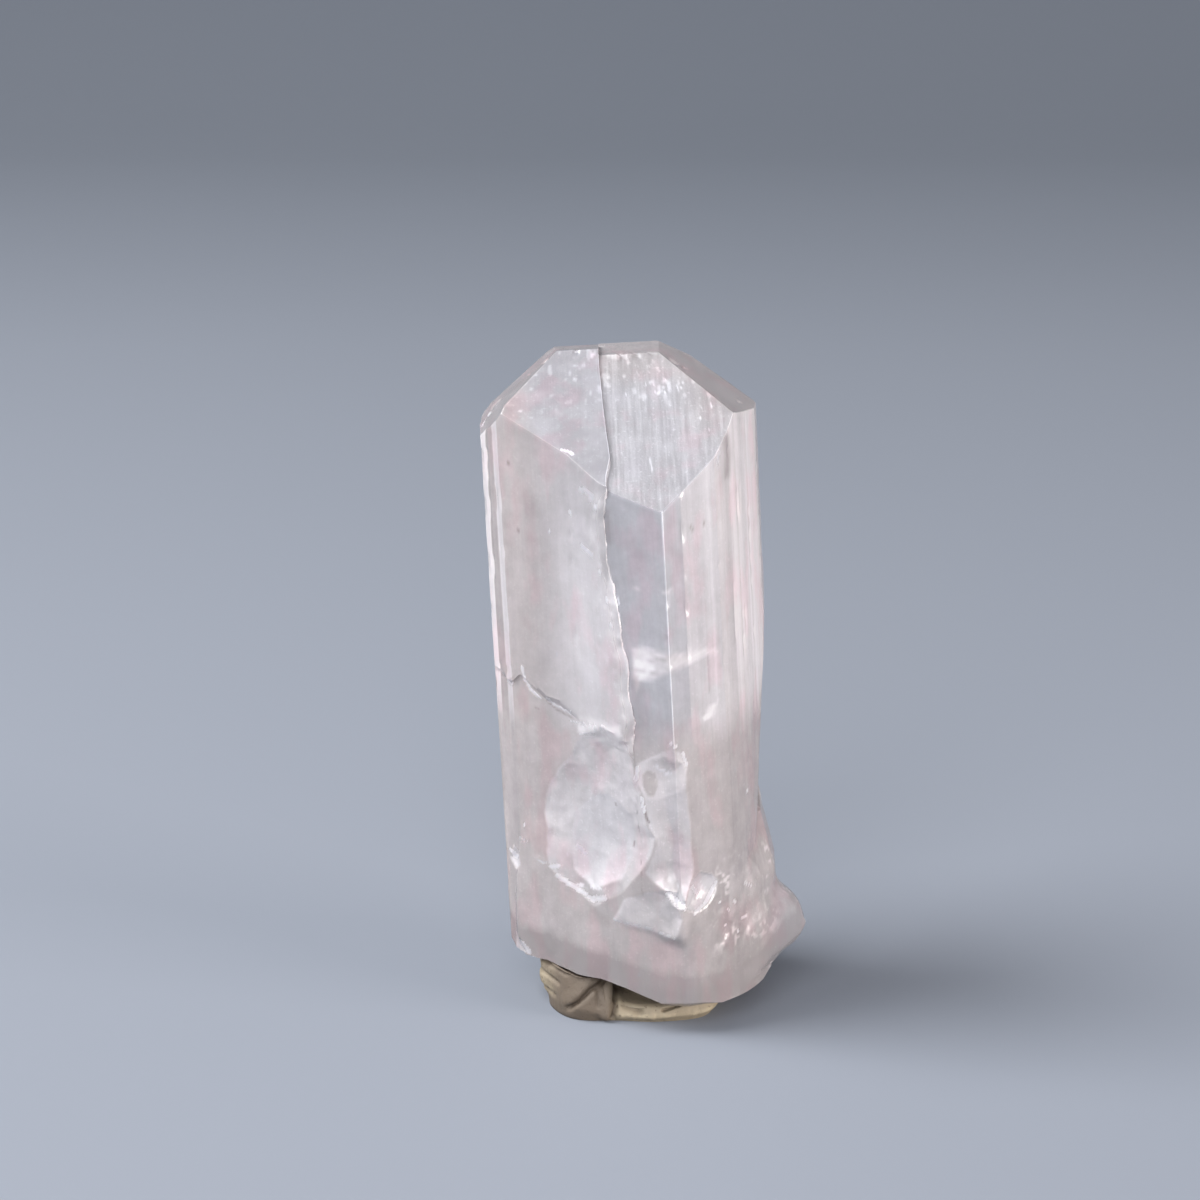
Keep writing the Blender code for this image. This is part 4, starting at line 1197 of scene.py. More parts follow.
def danburite(name, settings):
    """Danburite, a hard clear borosilicate mineral of refractive index 1.63, grown with fine lines along its
    prism: it lets light through cloudily, shines like glass on its faces and goes matt and white where it is
    etched, cracked or bruised."""
    material, tree, output = fresh_material(name)
    place = add_node(tree, "ShaderNodeTexCoord")
    values = {key: add_node(tree, "ShaderNodeAttribute", {"attribute_name": key}).outputs["Fac"]
              for key in ("milk", "blush", "frost", "stain_and_shade", "worn_and_lit_edges")}

    # Growth lines about 0.3 mm apart and 30 times as long: the pattern's places are in millimetres
    streak_place = add_node(
        tree, "ShaderNodeMapping", inputs={"Scale": (1.0, 0.035, 1.0)}, links={"Vector": place.outputs["UV"]}
    )
    streak = add_node(
        tree, "ShaderNodeTexNoise", inputs={"Scale": 3.4, "Detail": 5.0, "Roughness": 0.7},
        links={"Vector": streak_place.outputs[0]},
    )

    # Cloudy patches of 1.3 mm, and white flecks of 0.2 mm where the skin is frosted, partly bruises and
    # partly painted glints
    cloud = add_node(
        tree, "ShaderNodeTexNoise", inputs={"Scale": 1.0 / (1.3 * MM), "Detail": 6.0, "Roughness": 0.62},
        links={"Vector": place.outputs["Object"]},
    )
    sparks = add_node(
        tree, "ShaderNodeTexNoise", inputs={"Scale": 1.0 / (0.2 * MM), "Detail": 2.0},
        links={"Vector": place.outputs["Object"]},
    )
    spark = add_node(
        tree, "ShaderNodeMapRange", inputs={"From Min": 0.6, "From Max": 0.72},
        links={"Value": sparks.outputs["Fac"]},
    )
    bruise_and_glint = add_node(
        tree, "ShaderNodeMath", {"operation": "MULTIPLY"}, links={0: spark.outputs[0], 1: values["frost"]}
    )
    # The sharp edges' white is partly wear and partly a painted edge highlight
    parts = [
        (cloud.outputs["Fac"], 0.5), (streak.outputs["Fac"], 0.18), (bruise_and_glint.outputs[0], 0.35),
        (values["worn_and_lit_edges"], 0.15),
    ]
    milk = values["milk"]
    for value, share in parts:
        sum_so_far = add_node(
            tree, "ShaderNodeMath", {"operation": "MULTIPLY_ADD"}, {1: share}, {0: value, 2: milk}
        )
        milk = sum_so_far.outputs[0]
    cloudiness = add_node(
        tree, "ShaderNodeMapRange", inputs={"From Min": 0.4, "From Max": 1.5}, links={"Value": milk}
    )
    tone = add_node(
        tree, "ShaderNodeMix", {"data_type": "RGBA"}, {6: linear(settings.clear), 7: linear(settings.milky)},
        {0: cloudiness.outputs[0]},
    )

    # A faint play of pink, green and lilac in patches of 1.8 mm, drawn out along the prism
    tint_place = add_node(
        tree, "ShaderNodeMapping", inputs={"Scale": (1.0, 1.0, 0.4)},
        links={"Vector": place.outputs["Object"]},
    )
    tint = add_node(
        tree, "ShaderNodeTexNoise", inputs={"Scale": 1.0 / (1.8 * MM), "Detail": 3.0},
        links={"Vector": tint_place.outputs[0]},
    )
    hue = add_node(tree, "ShaderNodeValToRGB", links={"Fac": tint.outputs["Fac"]})
    for element, (place_share, code) in zip(
        (*hue.color_ramp.elements, hue.color_ramp.elements.new(0.5)),
        ((0.36, settings.tint_pink), (0.64, settings.tint_lilac), (0.5, settings.tint_green)),
    ):
        element.position = place_share
        element.color = linear(code)
    tone = add_node(
        tree, "ShaderNodeMix", {"data_type": "RGBA", "blend_type": "MULTIPLY"}, {0: 1.0},
        {6: tone.outputs[2], 7: hue.outputs["Color"]},
    )
    tinge = add_node(
        tree, "ShaderNodeMix", {"data_type": "RGBA"}, {6: linear(settings.cool), 7: linear(settings.blush)},
        {0: values["blush"]},
    )
    pink = add_node(
        tree, "ShaderNodeMix", {"data_type": "RGBA", "blend_type": "MULTIPLY"}, {0: 1.0},
        {6: tone.outputs[2], 7: tinge.outputs[2]},
    )
    # The stain colour marks dark specks and paints shade into a groove, a slot and a crease
    colour = add_node(
        tree, "ShaderNodeMix", {"data_type": "RGBA"}, {7: linear(settings.stain_and_shade)},
        {0: values["stain_and_shade"], 6: pink.outputs[2]},
    )

    # Etched grain: the real one is finer than 0.05 mm, and is drawn at 0.16 mm so that it shows
    grain = add_node(
        tree, "ShaderNodeTexNoise", inputs={"Scale": 1.0 / (0.16 * MM), "Detail": 3.0, "Roughness": 0.6},
        links={"Vector": place.outputs["Object"]},
    )
    grain_depth = add_node(
        tree, "ShaderNodeMath", {"operation": "MULTIPLY"}, links={0: values["frost"], 1: grain.outputs["Fac"]}
    )
    lines = add_node(
        tree, "ShaderNodeBump", inputs={"Strength": 0.35, "Distance": 0.06 * MM},
        links={"Height": streak.outputs["Fac"]},
    )
    surface = add_node(
        tree, "ShaderNodeBump", inputs={"Strength": 0.5, "Distance": 0.05 * MM},
        links={"Height": grain_depth.outputs[0], "Normal": lines.outputs[0]},
    )
    roughness = add_node(
        tree, "ShaderNodeMapRange", inputs={"To Min": settings.gloss_face, "To Max": settings.matt_face},
        links={"Value": values["frost"]},
    )
    shader = add_node(
        tree, "ShaderNodeBsdfPrincipled",
        inputs={"IOR": 1.63, "Transmission Weight": settings.transmission},
        links={
            "Base Color": colour.outputs[2], "Normal": surface.outputs[0], "Roughness": roughness.outputs[0],
        },
    )
    tree.links.new(shader.outputs[0], output.inputs["Surface"])
    volume = add_node(
        tree, "ShaderNodeVolumeAbsorption",
        inputs={"Color": linear(settings.absorption), "Density": settings.absorption_density},
    )
    tree.links.new(volume.outputs[0], output.inputs["Volume"])
    return material


# Outline of the faces that look to the front, for placing what lies inside the crystal
FRONT_OUTLINE = [
    (-8.05, -0.9), (-7.4, -1.9), (-6.62, -3.2), (-2.4, -5.9), (0.2, -8.2), (0.3, -7.9), (3.6, -9.3),
    (4.85, -8.22), (7.15, -6.15), (8.1, -4.6), (8.6, -3.45), (9.35, -1.3), (10.1, 1.3),
]

# Healed cracks inside, as flattened tubes with this many rings and points in a ring, crumpled this far
# across, inward and up
VEIL_STEPS = 90
VEIL_TURNS = 36
VEIL_CRUMPLE = (0.12, 0.2, 0.12)
VEIL_SEED = 400

# Upper and lower edge of each, seen from the front, its depth under the face and its thickness
VEILS = {
    "veil_band": (
        [(1.1, 26.0), (2.0, 26.6), (3.3, 27.0), (4.9, 26.1), (6.6, 25.9)],
        [(1.2, 25.5), (1.9, 25.5), (3.2, 25.7), (4.9, 25.4), (6.6, 25.7)],
        0.7, 0.18,
    ),
    "veil_tail": (
        [(1.0, 25.9), (1.5, 26.0), (2.2, 25.6)],
        [(1.4, 23.4), (1.7, 23.6), (2.0, 24.0)],
        0.9, 0.15,
    ),
    "veil_spray": (
        [(4.6, 21.1), (5.3, 21.9), (6.1, 22.5)],
        [(4.7, 20.7), (5.4, 21.3), (6.1, 22.2)],
        0.5, 0.12,
    ),
}


def veil_points(upper, lower, depth, thickness, seed):
    """Rings of a flattened tube whose middle line runs halfway between the two edges: each ring is an
    ellipse as wide as the gap between them and as thick as the sheet, crumpled by noise."""
    way = np.linspace(0.0, 1.0, VEIL_STEPS)
    upper, lower = (
        np.stack([np.interp(way, np.linspace(0.0, 1.0, len(edge)), places) for places in zip(*edge)], axis=-1)
        for edge in (upper, lower)
    )
    centre, half = (upper + lower) / 2.0, (upper - lower) / 2.0
    taper = np.sqrt(np.clip(4.0 * way * (1.0 - way), 0.0, 1.0))[:, None]
    angle = np.linspace(0.0, 2.0 * math.pi, VEIL_TURNS, endpoint=False)[None]
    x = centre[:, :1] + half[:, :1] * np.cos(angle) * taper
    z = centre[:, 1:] + half[:, 1:] * np.cos(angle) * taper
    xs, ys = np.array(FRONT_OUTLINE).T
    y = np.interp(centre[:, :1], xs, ys) + depth + thickness / 2.0 * np.sin(angle) * taper
    points = np.stack([x, y + 0.0 * x, z], axis=-1)
    sway = np.stack([layered(points, size=1.3, seed=seed + axis, layers=3) for axis in range(3)], axis=-1)
    return points + sway * np.array(VEIL_CRUMPLE)


def veil_material(name, settings):
    """A healed crack: a film of tiny bubbles that scatters light, white and ragged at its edges."""
    material, tree, output = fresh_material(name)
    place = add_node(tree, "ShaderNodeTexCoord").outputs["Object"]
    film = add_node(
        tree, "ShaderNodeTexNoise", inputs={"Scale": 1.0 / (0.6 * MM), "Detail": 6.0, "Roughness": 0.7},
        links={"Vector": place},
    )
    cover = add_node(
        tree, "ShaderNodeMapRange",
        inputs={"From Min": 0.36, "From Max": 0.62, "To Min": 0.05, "To Max": settings.veil_cover},
        links={"Value": film.outputs["Fac"]},
    )
    shader = add_node(
        tree, "ShaderNodeBsdfPrincipled",
        inputs={"Base Color": linear(settings.milky), "Roughness": 0.6},
        links={"Alpha": cover.outputs[0]},
    )
    tree.links.new(shader.outputs[0], output.inputs["Surface"])
    return material


def underside(x, y):
    """Height of the leaning crystal's underside above a point of the floor. The underside's place in the
    crystal's own axes depends on that height, so it is found in rounds."""
    lean = math.radians(LEAN)
    height = 0.0 * x
    for _ in range(UNDERSIDE_ROUNDS):
        own_x = x * math.cos(lean) + height * math.sin(lean)
        height = foot_height(own_x, y) * math.cos(lean) + own_x * math.sin(lean)
    return height


def putty_rim(angle):
    """Distance of the putty's edge from its centre: a rounded square, dented where it was pinched."""
    across, inward = np.abs(np.cos(angle) / PUTTY_SIZE[0]), np.abs(np.sin(angle) / PUTTY_SIZE[1])
    base = (across ** PUTTY_SQUARENESS + inward ** PUTTY_SQUARENESS) ** (-1.0 / PUTTY_SQUARENESS)
    return base * (1.0 + 0.022 * np.sin(5.0 * angle + 0.6) + 0.014 * np.sin(9.0 * angle + 2.1))


def putty_free_top(x, y):
    """Height of the putty where no crystal presses on it: its heaps, and an uneven tongue between them."""
    height = PUTTY_TONGUE + 0.25 * np.sin(0.9 * x + 0.5) * np.cos(0.7 * y)
    for top, (mid_x, mid_y), (half_x, half_y), power in PUTTY_HEAPS.values():
        fall = ((x - mid_x) / half_x) ** power + ((y - mid_y) / half_y) ** power
        height = np.maximum(height, top * np.exp(-fall))
    return height


# Folds of the putty, seen from the front: path from the floor up, half width, and depth (below 0 it swells)
PUTTY_FOLDS = [
    ([(-4.4, 0.8), (-3.44, 1.75), (-2.84, 2.3), (-2.0, 2.6)], 0.16, 0.45),
    ([(-1.25, 2.3), (-1.3, 1.2), (-1.5, 0.3)], 0.2, 0.45),
    ([(-2.35, 2.2), (-2.4, 1.2)], 0.18, 0.15),
    ([(-1.85, 2.6), (-1.8, 1.4), (-1.85, 0.4)], 0.42, -0.32),
    ([(1.9, 0.9), (3.07, 1.2)], 0.1, 0.3),
    ([(-6.2, 2.6), (-5.3, 2.3)], 0.14, 0.28),
    ([(-5.9, 3.4), (-4.6, 3.2)], 0.14, 0.22),
    ([(-6.4, 1.6), (-5.6, 1.2)], 0.16, 0.25),
    ([(-5.9, 3.0), (-6.1, 1.4)], 0.3, -0.25),
    ([(-0.7, 1.2), (0.3, 0.8)], 0.35, 0.3),
    ([(-5.2, 1.5), (-3.8, 2.9)], 0.9, 0.18),
]


def putty_grid():
    """Rings of the putty: out along the floor, up a bulging wall whose top follows the heaps, and in over
    the top, pressed down under the crystal."""
    angle = np.linspace(0.0, 2.0 * math.pi, PUTTY_TURNS, endpoint=False)
    rim = putty_rim(angle)
    way_round = 6.0 * angle
    torn = 0.10 * jag(way_round, size=1.2, seed=201) + 0.05 * jag(way_round, size=0.3, seed=202)

    floor_reach = PUTTY_TUCK * rim * np.linspace(0.1, 1.0, PUTTY_FLOOR_ROWS)[:, None]
    floor_rows = plane(floor_reach * np.cos(angle), floor_reach * np.sin(angle))

    def top_at(reach, rise):
        """Points of the top at a reach from the centre, its free height scaled by the rise."""
        x, y = reach * np.cos(angle), reach * np.sin(angle)
        height = np.minimum(putty_free_top(x, y) * rise, underside(x, y) - PUTTY_CLEARANCE)
        return np.stack([x, y, np.maximum(height, PUTTY_LEAST)], axis=-1)

    lip = top_at(rim, 0.8)
    t = np.linspace(0.0, 1.0, PUTTY_WALL_ROWS + 1)[1:-1, None]
    bulge = PUTTY_TUCK + PUTTY_UNTUCK * smooth_step(t, 0.0, 0.45) + 0.02 * np.sin(math.pi * t)
    wall_reach = (rim + torn * np.sin(math.pi * t)) * bulge
    wall_rows = np.stack([wall_reach * np.cos(angle), wall_reach * np.sin(angle), t * lip[:, 2]], axis=-1)

    inward = (np.arange(PUTTY_TOP_ROWS) / PUTTY_TOP_ROWS)[:, None] ** 1.4
    rise = np.sqrt(1.0 - (1.0 - np.minimum(1.0, 0.4 + 3.2 * inward)) ** 2)
    top_rows = top_at(rim * (1.0 - inward ** 1.3), rise)
    return np.concatenate([floor_rows, wall_rows, top_rows])


def putty_relief(grid):
    """Depth pressed into the putty at each point: its folds, finger dents, torn crumbs and fine grain."""
    x, y, z = np.moveaxis(grid, -1, 0)
    depth = 0.16 * layered(grid, size=2.2, seed=211, layers=2)
    depth += 0.04 * layered(grid, size=0.6, seed=215, layers=3)
    for path, width, deep in PUTTY_FOLDS:
        depth += np.where(y < -0.5, deep * near_path(x, z, path, width), 0.0)
    pinches = np.abs(noise(grid, size=(1.6, 1.6, 3.0), seed=217))
    depth += 0.3 * np.exp(-(pinches / 0.06) ** 2) * smooth_step(y, -2.0, 0.5)
    return depth * smooth_step(z, 0.0, 0.3)


def putty_finish(grid):
    """The putty's finish at each point: pale where it was stretched thin, at the tongue's front edge, its top
    and the pinched left corner, and darker in the deep folds: painted shade."""
    x, y, z = np.moveaxis(grid, -1, 0)
    edge = bell(z, 0.55, 0.35) * smooth_step(-y, 3.0, 5.0) * smooth_step(x, -1.6, -0.6)
    pinched = bell(x, -6.1, 0.5) * smooth_step(z, 0.6, 1.2) * 0.7
    ragged = np.clip(0.6 + 0.6 * layered(grid, size=0.8, seed=221, layers=3), 0.0, 1.0)
    tongue = 0.4 * smooth_step(x, -2.0, -0.8) * smooth_step(-y, 0.5, 2.5)
    # Painted shade: the deep folds are darkened
    folds = sum(near_path(x, z, path, 0.6 * width) * deep for path, width, deep in PUTTY_FOLDS if deep > 0.2)
    return {
        "pale": np.maximum(np.maximum(edge, pinched) * ragged, tongue),
        "crease": np.where(y < -0.5, np.clip(folds * 1.6, 0.0, 0.8), 0.0),
    }


def putty_material(name, settings):
    """Oil-based display putty, kneaded by hand: a matt, waxy clay with pale stretched edges, picked-up dirt,
    and painted shade in its folds."""
    material, tree, output = fresh_material(name)
    place = add_node(tree, "ShaderNodeTexCoord").outputs["Object"]
    pale, crease = (
        add_node(tree, "ShaderNodeAttribute", {"attribute_name": key}).outputs["Fac"]
        for key in ("pale", "crease")
    )

    # Mottled in patches of 1.4 mm, and pale where it was stretched
    mottle = add_node(
        tree, "ShaderNodeTexNoise", inputs={"Scale": 1.0 / (1.4 * MM), "Detail": 4.0, "Roughness": 0.6},
        links={"Vector": place},
    )
    tone = add_node(
        tree, "ShaderNodeMix", {"data_type": "RGBA"},
        {6: linear(settings.putty_dark), 7: linear(settings.putty_light)}, {0: mottle.outputs["Fac"]},
    )
    stretched = add_node(
        tree, "ShaderNodeMix", {"data_type": "RGBA"}, {7: linear(settings.putty_edge)},
        {0: pale, 6: tone.outputs[2]},
    )

    # Specks of dirt of 0.2 mm, and painted shade in the folds
    specks = add_node(
        tree, "ShaderNodeTexNoise", inputs={"Scale": 1.0 / (0.22 * MM), "Detail": 2.0},
        links={"Vector": place},
    )
    dark_mark = add_node(
        tree, "ShaderNodeMapRange", inputs={"From Min": 0.64, "From Max": 0.7},
        links={"Value": specks.outputs["Fac"]},
    )
    dirt_and_shade = add_node(
        tree, "ShaderNodeMath", {"operation": "MULTIPLY_ADD", "use_clamp": True}, {1: 0.6},
        {0: dark_mark.outputs[0], 2: crease},
    )
    colour = add_node(
        tree, "ShaderNodeMix", {"data_type": "RGBA"}, {7: linear(settings.putty_dirt_and_shade)},
        {0: dirt_and_shade.outputs[0], 6: stretched.outputs[2]},
    )

    # The clay's grain is finer than 0.05 mm, and is drawn at 0.12 mm so that it shows
    grain = add_node(
        tree, "ShaderNodeTexNoise", inputs={"Scale": 1.0 / (0.12 * MM), "Detail": 4.0},
        links={"Vector": place},
    )
    bump = add_node(
        tree, "ShaderNodeBump", inputs={"Strength": 0.5, "Distance": 0.05 * MM},
        links={"Height": grain.outputs["Fac"]},
    )
    rough = add_node(
        tree, "ShaderNodeMapRange", inputs={"To Min": 0.55, "To Max": 0.8},
        links={"Value": mottle.outputs["Fac"]},
    )
    shader = add_node(
        tree, "ShaderNodeBsdfPrincipled", inputs={"Specular IOR Level": 0.35},
        links={"Base Color": colour.outputs[2], "Normal": bump.outputs[0], "Roughness": rough.outputs[0]},
    )
    tree.links.new(shader.outputs[0], output.inputs["Surface"])
    return material


def colour_text(name, description, default):
    """A setting that holds an sRGB colour as a hex code."""
    return StringProperty(name=name, description=description, default=default, maxlen=7)


class SpecimenSettings(bpy.types.PropertyGroup):
    """Sizes and colours of the specimen."""

    clear: colour_text("Clear", "Tint of the clearest danburite", "#a8a6a8")
    milky: colour_text("Milky", "Colour of cloudy and bruised danburite", "#fdfcff")
    tint_pink: colour_text("Pink tint", "Faint pink of some patches", "#fdf3f2")
    tint_green: colour_text("Green tint", "Faint green of some patches", "#f7faf6")
    tint_lilac: colour_text("Lilac tint", "Faint lilac of some patches", "#faf4fc")
    cool: colour_text("Cool", "Bluish tinge of the clearest faces", "#f4f4fa")
    # This colour also paints shade into the groove beside the seam, the slot under the right dome and the
    # crease above the foot
    blush: colour_text("Blush", "Pink tinge over the danburite", "#f8eeeb")
    stain_and_shade: colour_text("Stain", "Dark specks and the groove beside the seam", "#7d6f6c")
    absorption: colour_text("Absorption", "Colour that white light takes inside the danburite", "#fdf8f8")
    absorption_density: FloatProperty(
        name="Absorption density", description="How strongly the danburite absorbs light",
        default=12.0, min=0.0,
    )
    transmission: FloatProperty(
        name="Transmission", description="Share of light that the danburite lets in",
        default=0.5, subtype="FACTOR",
    )
    gloss_face: FloatProperty(
        name="Gloss roughness", description="Roughness of the smoothest faces",
        default=0.08, subtype="FACTOR",
    )
    matt_face: FloatProperty(
        name="Matt roughness", description="Roughness of the etched faces",
        default=0.5, subtype="FACTOR",
    )
    veil_cover: FloatProperty(
        name="Veil cover", description="How closed the healed cracks inside are",
        default=0.8, subtype="FACTOR",
    )
    putty_light: colour_text("Putty light", "Lighter tone of the putty", "#695d50")
    putty_dark: colour_text("Putty dark", "Darker tone of the putty", "#4f463b")
    putty_edge: colour_text("Putty edge", "Stretched pale edges of the putty", "#b3a78c")
    # This colour also paints shade into the putty's folds
    putty_dirt_and_shade: colour_text("Putty dirt", "Dirt in the putty's creases", "#4a3d31")
    paper_near: colour_text("Paper near", "Backdrop paper under the specimen", "#767b83")
    # The far colour is darker as painted shade, where less light reaches the paper
    paper_far_shaded: colour_text("Paper far", "Backdrop paper far behind the specimen", "#595f67")
    lens: FloatProperty(
        name="Lens", description="Focal length of the camera in millimetres",
        default=112.5, min=20.0,
    )
    distance: FloatProperty(
        name="Distance", description="Camera distance from the specimen",
        default=0.25, unit="LENGTH",
    )
    elevation: FloatProperty(
        name="Elevation", description="Camera height above the horizon",
        default=math.radians(14.0), subtype="ANGLE",
    )


class SPECIMEN_OT_crystal(bpy.types.Operator):
    """Builds the crystal's fine surface"""

    bl_idname = "specimen.crystal"
    bl_label = "Crystal"

    def execute(self, context):
        columns = Columns()
        grid = crystal_grid(columns)
        above_rim = smooth_step(np.arange(len(grid)) - ROWS_UNDER, *WORN_ROWS)[:, None]
        low = 1.0 - smooth_step(grid[..., 2], *WORN_HEIGHTS)
        grid = worn_smooth(grid, above_rim * low, WORN_ROUNDS)
        scars = {}
        for number, (key, scar) in enumerate(SCARS.items()):
            grid, scars[key] = scooped(grid, scar, SCAR_SEED + number)
        marks = Marks(grid, columns)
        finish = paint(marks, scars, grid)
        grid = grid + grid_normals(grid) * relief(grid, marks, scars)[..., None]
        # White on sharp outer edges: partly wear, partly a painted edge highlight
        worn_and_lit_edges = ridge_share(grid) * smooth_step(marks.z, 4.0, 9.0)
        places = pattern_places(grid, marks)
        quads, lower, upper = ring_faces(*grid.shape[:2])
        foot_pole = np.array([*FOOT_CENTRE, foot_height(*FOOT_CENTRE)])
        summit = np.array([*SUMMIT, top_height(*SUMMIT, LEFT)])
        points = np.concatenate([foot_pole[None], grid.reshape(-1, 3), summit[None]])
        values = {key: with_poles(value) for key, value in {**vars(finish), "worn_and_lit_edges": worn_and_lit_edges}.items()}
        world = np.clip(leaned(points), CAD_LOW, CAD_HIGH)
        crystal = mesh_object("crystal_surface", world, quads, np.concatenate([lower, upper]), values, places)
        crystal.data.set_sharp_from_angle(angle=math.radians(SHARP_TURN))
        crystal.data.materials.append(danburite("cloudy_danburite", context.scene.specimen))
        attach(crystal, "root")
        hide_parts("crystal")
        return {"FINISHED"}


class SPECIMEN_OT_veils(bpy.types.Operator):
    """Builds the healed cracks inside the crystal"""

    bl_idname = "specimen.veils"
    bl_label = "Veils"

    def execute(self, context):
        film = veil_material("healed_crack", context.scene.specimen)
        for number, (name, veil) in enumerate(VEILS.items()):
            grid = veil_points(*veil, VEIL_SEED + 10 * number)
            quads, lower, upper = ring_faces(*grid.shape[:2])
            first_pole, last_pole = grid[0].mean(axis=0), grid[-1].mean(axis=0)
            points = np.concatenate([first_pole[None], grid.reshape(-1, 3), last_pole[None]])
            sheet = mesh_object(name, leaned(points), quads, np.concatenate([lower, upper]))
            sheet.data.materials.append(film)
            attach(sheet, "root")
        return {"FINISHED"}


class SPECIMEN_OT_putty(bpy.types.Operator):
    """Builds the kneaded lump of display putty"""

    bl_idname = "specimen.putty"
    bl_label = "Putty"

    def execute(self, context):
        grid = putty_grid()
        surface = grid - grid_normals(grid) * putty_relief(grid)[..., None]
        surface[..., 2] = np.maximum(surface[..., 2], 0.0)
        quads, lower, upper = ring_faces(*grid.shape[:2])
        top_pole = surface[-1].mean(axis=0)
        points = np.concatenate([np.zeros((1, 3)), surface.reshape(-1, 3), top_pole[None]])
        values = {key: with_poles(value) for key, value in putty_finish(grid).items()}
        putty = mesh_object("putty_lump", points * MM, quads, np.concatenate([lower, upper]), values)
        putty.data.materials.append(putty_material("kneaded_display_putty", context.scene.specimen))
        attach(putty, "root")
        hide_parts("putty")
        return {"FINISHED"}


class SPECIMEN_OT_stage(bpy.types.Operator):
    """Builds the paper floor, the soft lights and the camera"""

    bl_idname = "specimen.stage"
    bl_label = "Stage"

    def execute(self, context):
        settings = context.scene.specimen
        build_sweep(settings)
        build_lights(context.scene)
        build_camera(context, settings)
        return {"FINISHED"}


def build_camera(context, settings):
    """A level camera in front of the specimen, looking down at the target at the set elevation."""
    rise = settings.elevation
    back = Vector((0.0, -math.cos(rise), math.sin(rise)))
    data = bpy.data.cameras.new("camera")
    data.lens = settings.lens
    data.sensor_width = SENSOR_WIDTH
    data.clip_start, data.clip_end = CLIP_RANGE
    camera = bpy.data.objects.new("camera", data)
    camera.location = Vector(CAMERA_TARGET) * MM + back * settings.distance
    camera.rotation_euler = (-back).to_track_quat("-Z", "Y").to_euler()
    context.collection.objects.link(camera)
    context.scene.camera = camera


def build_sweep(settings):
    """A sheet of paper: flat under the specimen, curved up behind it by a quarter circle, then upright."""
    flat = np.stack([np.linspace(PAPER_FRONT, PAPER_BEND, 12), np.zeros(12)], axis=1)
    angles = np.linspace(0.0, math.pi / 2, 24)[1:]
    curve_y = PAPER_BEND + PAPER_TURN * np.sin(angles)
    curve_z = PAPER_TURN - PAPER_TURN * np.cos(angles)
    rise_z = np.linspace(PAPER_TURN, PAPER_TOP, 7)[1:]
    rise_y = np.full(len(rise_z), PAPER_BEND + PAPER_TURN)
    profile = np.concatenate([flat, np.stack([curve_y, curve_z], axis=1), np.stack([rise_y, rise_z], axis=1)])
    across = np.linspace(-PAPER_HALF_WIDTH, PAPER_HALF_WIDTH, PAPER_COLUMNS)
    sheet = np.broadcast_arrays(across[None], profile[:, :1], profile[:, 1:])
    points = np.stack(sheet, axis=-1).reshape(-1, 3)
    row = np.arange(len(profile) - 1)[:, None] * PAPER_COLUMNS
    first = row + np.arange(PAPER_COLUMNS - 1)
    above = first + PAPER_COLUMNS
    quads = np.stack([first, first + 1, above + 1, above], axis=-1).reshape(-1, 4)
    floor = mesh_object("floor", points, quads, np.zeros((0, 3), int))
    floor.data.materials.append(studio_paper("studio_paper", settings))


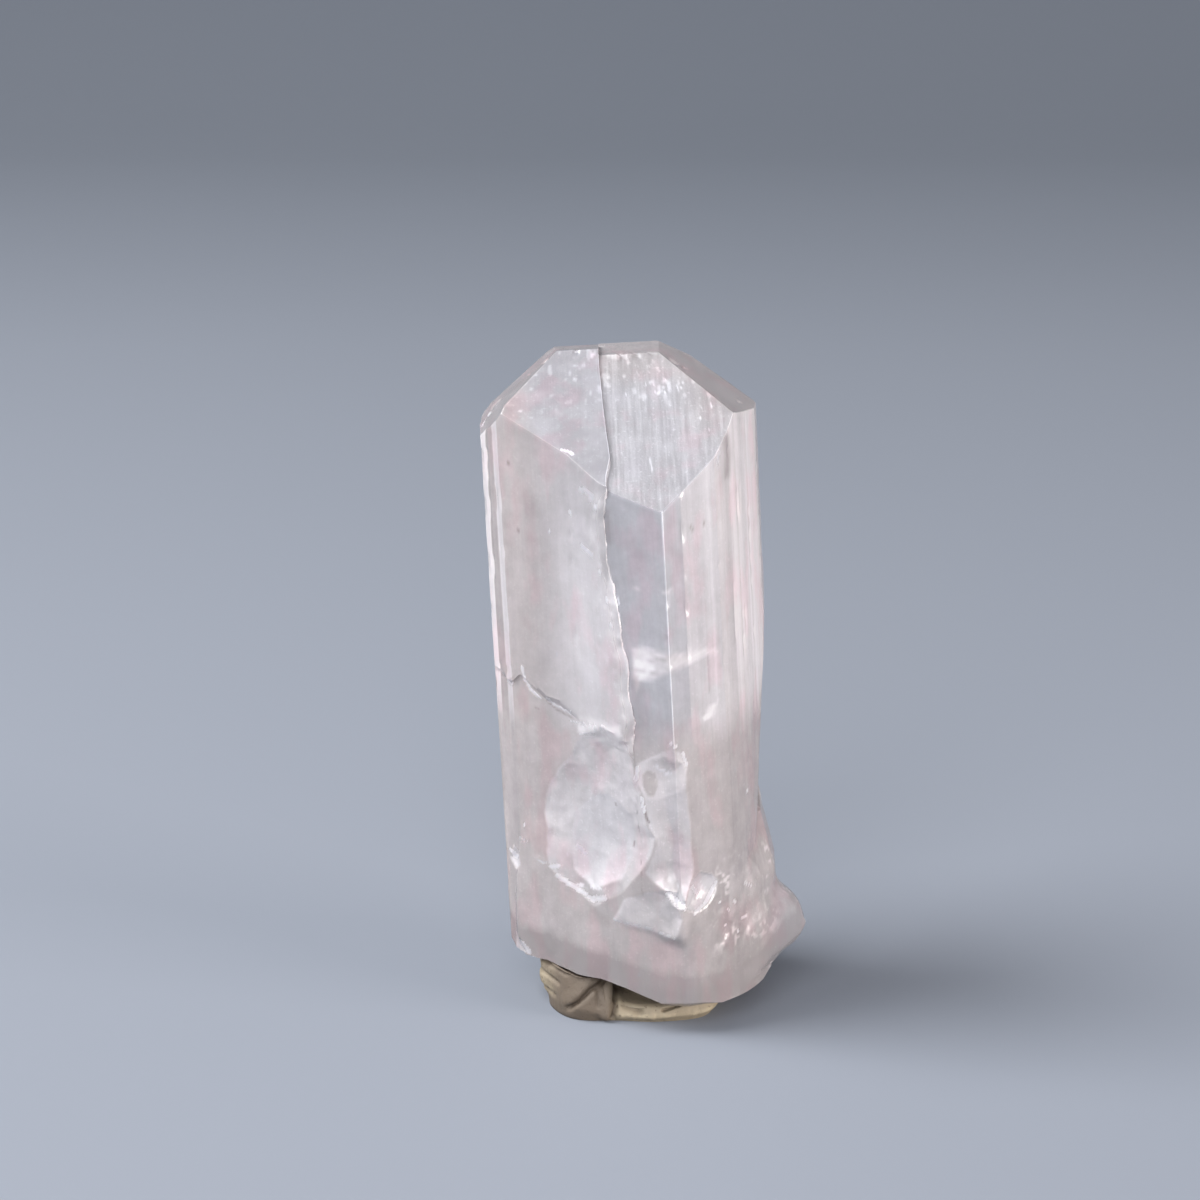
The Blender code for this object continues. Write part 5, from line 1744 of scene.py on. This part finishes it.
def studio_paper(name, settings):
    """Backdrop paper, matt and faintly fibrous, its colour painted darker towards the back: painted shade for
    the light falling off away from the lamps.
    """
    material, tree, output = fresh_material(name)
    place = add_node(tree, "ShaderNodeTexCoord").outputs["Object"]
    fibre = add_node(
        tree, "ShaderNodeTexNoise", inputs={"Scale": 1.0 / (60.0 * MM), "Detail": 3.0},
        links={"Vector": place},
    )
    depth = add_node(tree, "ShaderNodeSeparateXYZ", links={"Vector": place}).outputs["Y"]
    # Painted shade: the colour darkens towards the back
    painted_falloff = add_node(
        tree, "ShaderNodeMapRange", inputs={"From Min": 0.25, "From Max": 0.95}, links={"Value": depth}
    )
    blend = add_node(
        tree, "ShaderNodeMath", {"operation": "MULTIPLY_ADD"}, {1: 0.04},
        {0: fibre.outputs["Fac"], 2: painted_falloff.outputs[0]},
    )
    tone = add_node(
        tree, "ShaderNodeMix", {"data_type": "RGBA"},
        {6: linear(settings.paper_near), 7: linear(settings.paper_far_shaded)}, {0: blend.outputs[0]},
    )
    shader = add_node(
        tree, "ShaderNodeBsdfPrincipled", inputs={"Roughness": 0.7}, links={"Base Color": tone.outputs[2]}
    )
    tree.links.new(shader.outputs[0], output.inputs["Surface"])
    return material


def soft_light(name, place, size, power, colour):
    """A square area light that faces the specimen's middle."""
    data = bpy.data.lights.new(name, "AREA")
    data.shape = "RECTANGLE"
    data.size, data.size_y = size
    data.energy = power
    data.color = linear(colour)[:3]
    light = bpy.data.objects.new(name, data)
    light.location = place
    light.rotation_euler = (Vector(LIGHTS_AIM) - Vector(place)).to_track_quat("-Z", "Y").to_euler()
    bpy.context.collection.objects.link(light)


def build_lights(scene):
    """A large soft light above, weaker ones from the front left and the right, and an even grey-blue
    surround."""
    for name, light in LIGHTS.items():
        soft_light(name, *light)
    world = bpy.data.worlds.new("surround")
    world.use_nodes = True
    tree = world.node_tree
    tree.nodes["Background"].inputs["Color"].default_value = linear(SURROUND_COLOUR)
    tree.nodes["Background"].inputs["Strength"].default_value = SURROUND_STRENGTH
    scene.world = world
    scene.view_settings.view_transform = "Standard"


class SPECIMEN_PT_panel(bpy.types.Panel):
    """Lists the specimen's pieces"""

    bl_label = "Specimen"
    bl_space_type = "VIEW_3D"
    bl_region_type = "UI"
    bl_category = "Specimen"

    def draw(self, context):
        layout = self.layout
        for operator in OPERATORS:
            layout.operator(operator.bl_idname)
        settings = context.scene.specimen
        for key in SpecimenSettings.__annotations__:
            layout.prop(settings, key)


OPERATORS = (SPECIMEN_OT_crystal, SPECIMEN_OT_veils, SPECIMEN_OT_putty, SPECIMEN_OT_stage)
CLASSES = (SpecimenSettings, *OPERATORS, SPECIMEN_PT_panel)


def register():
    for cls in CLASSES:
        bpy.utils.register_class(cls)
    bpy.types.Scene.specimen = PointerProperty(type=SpecimenSettings)


def unregister():
    del bpy.types.Scene.specimen
    for cls in reversed(CLASSES):
        bpy.utils.unregister_class(cls)


def main():
    register()
    bpy.ops.specimen.crystal()
    bpy.ops.specimen.veils()
    bpy.ops.specimen.putty()
    bpy.ops.specimen.stage()


if __name__ == "__main__":
    main()
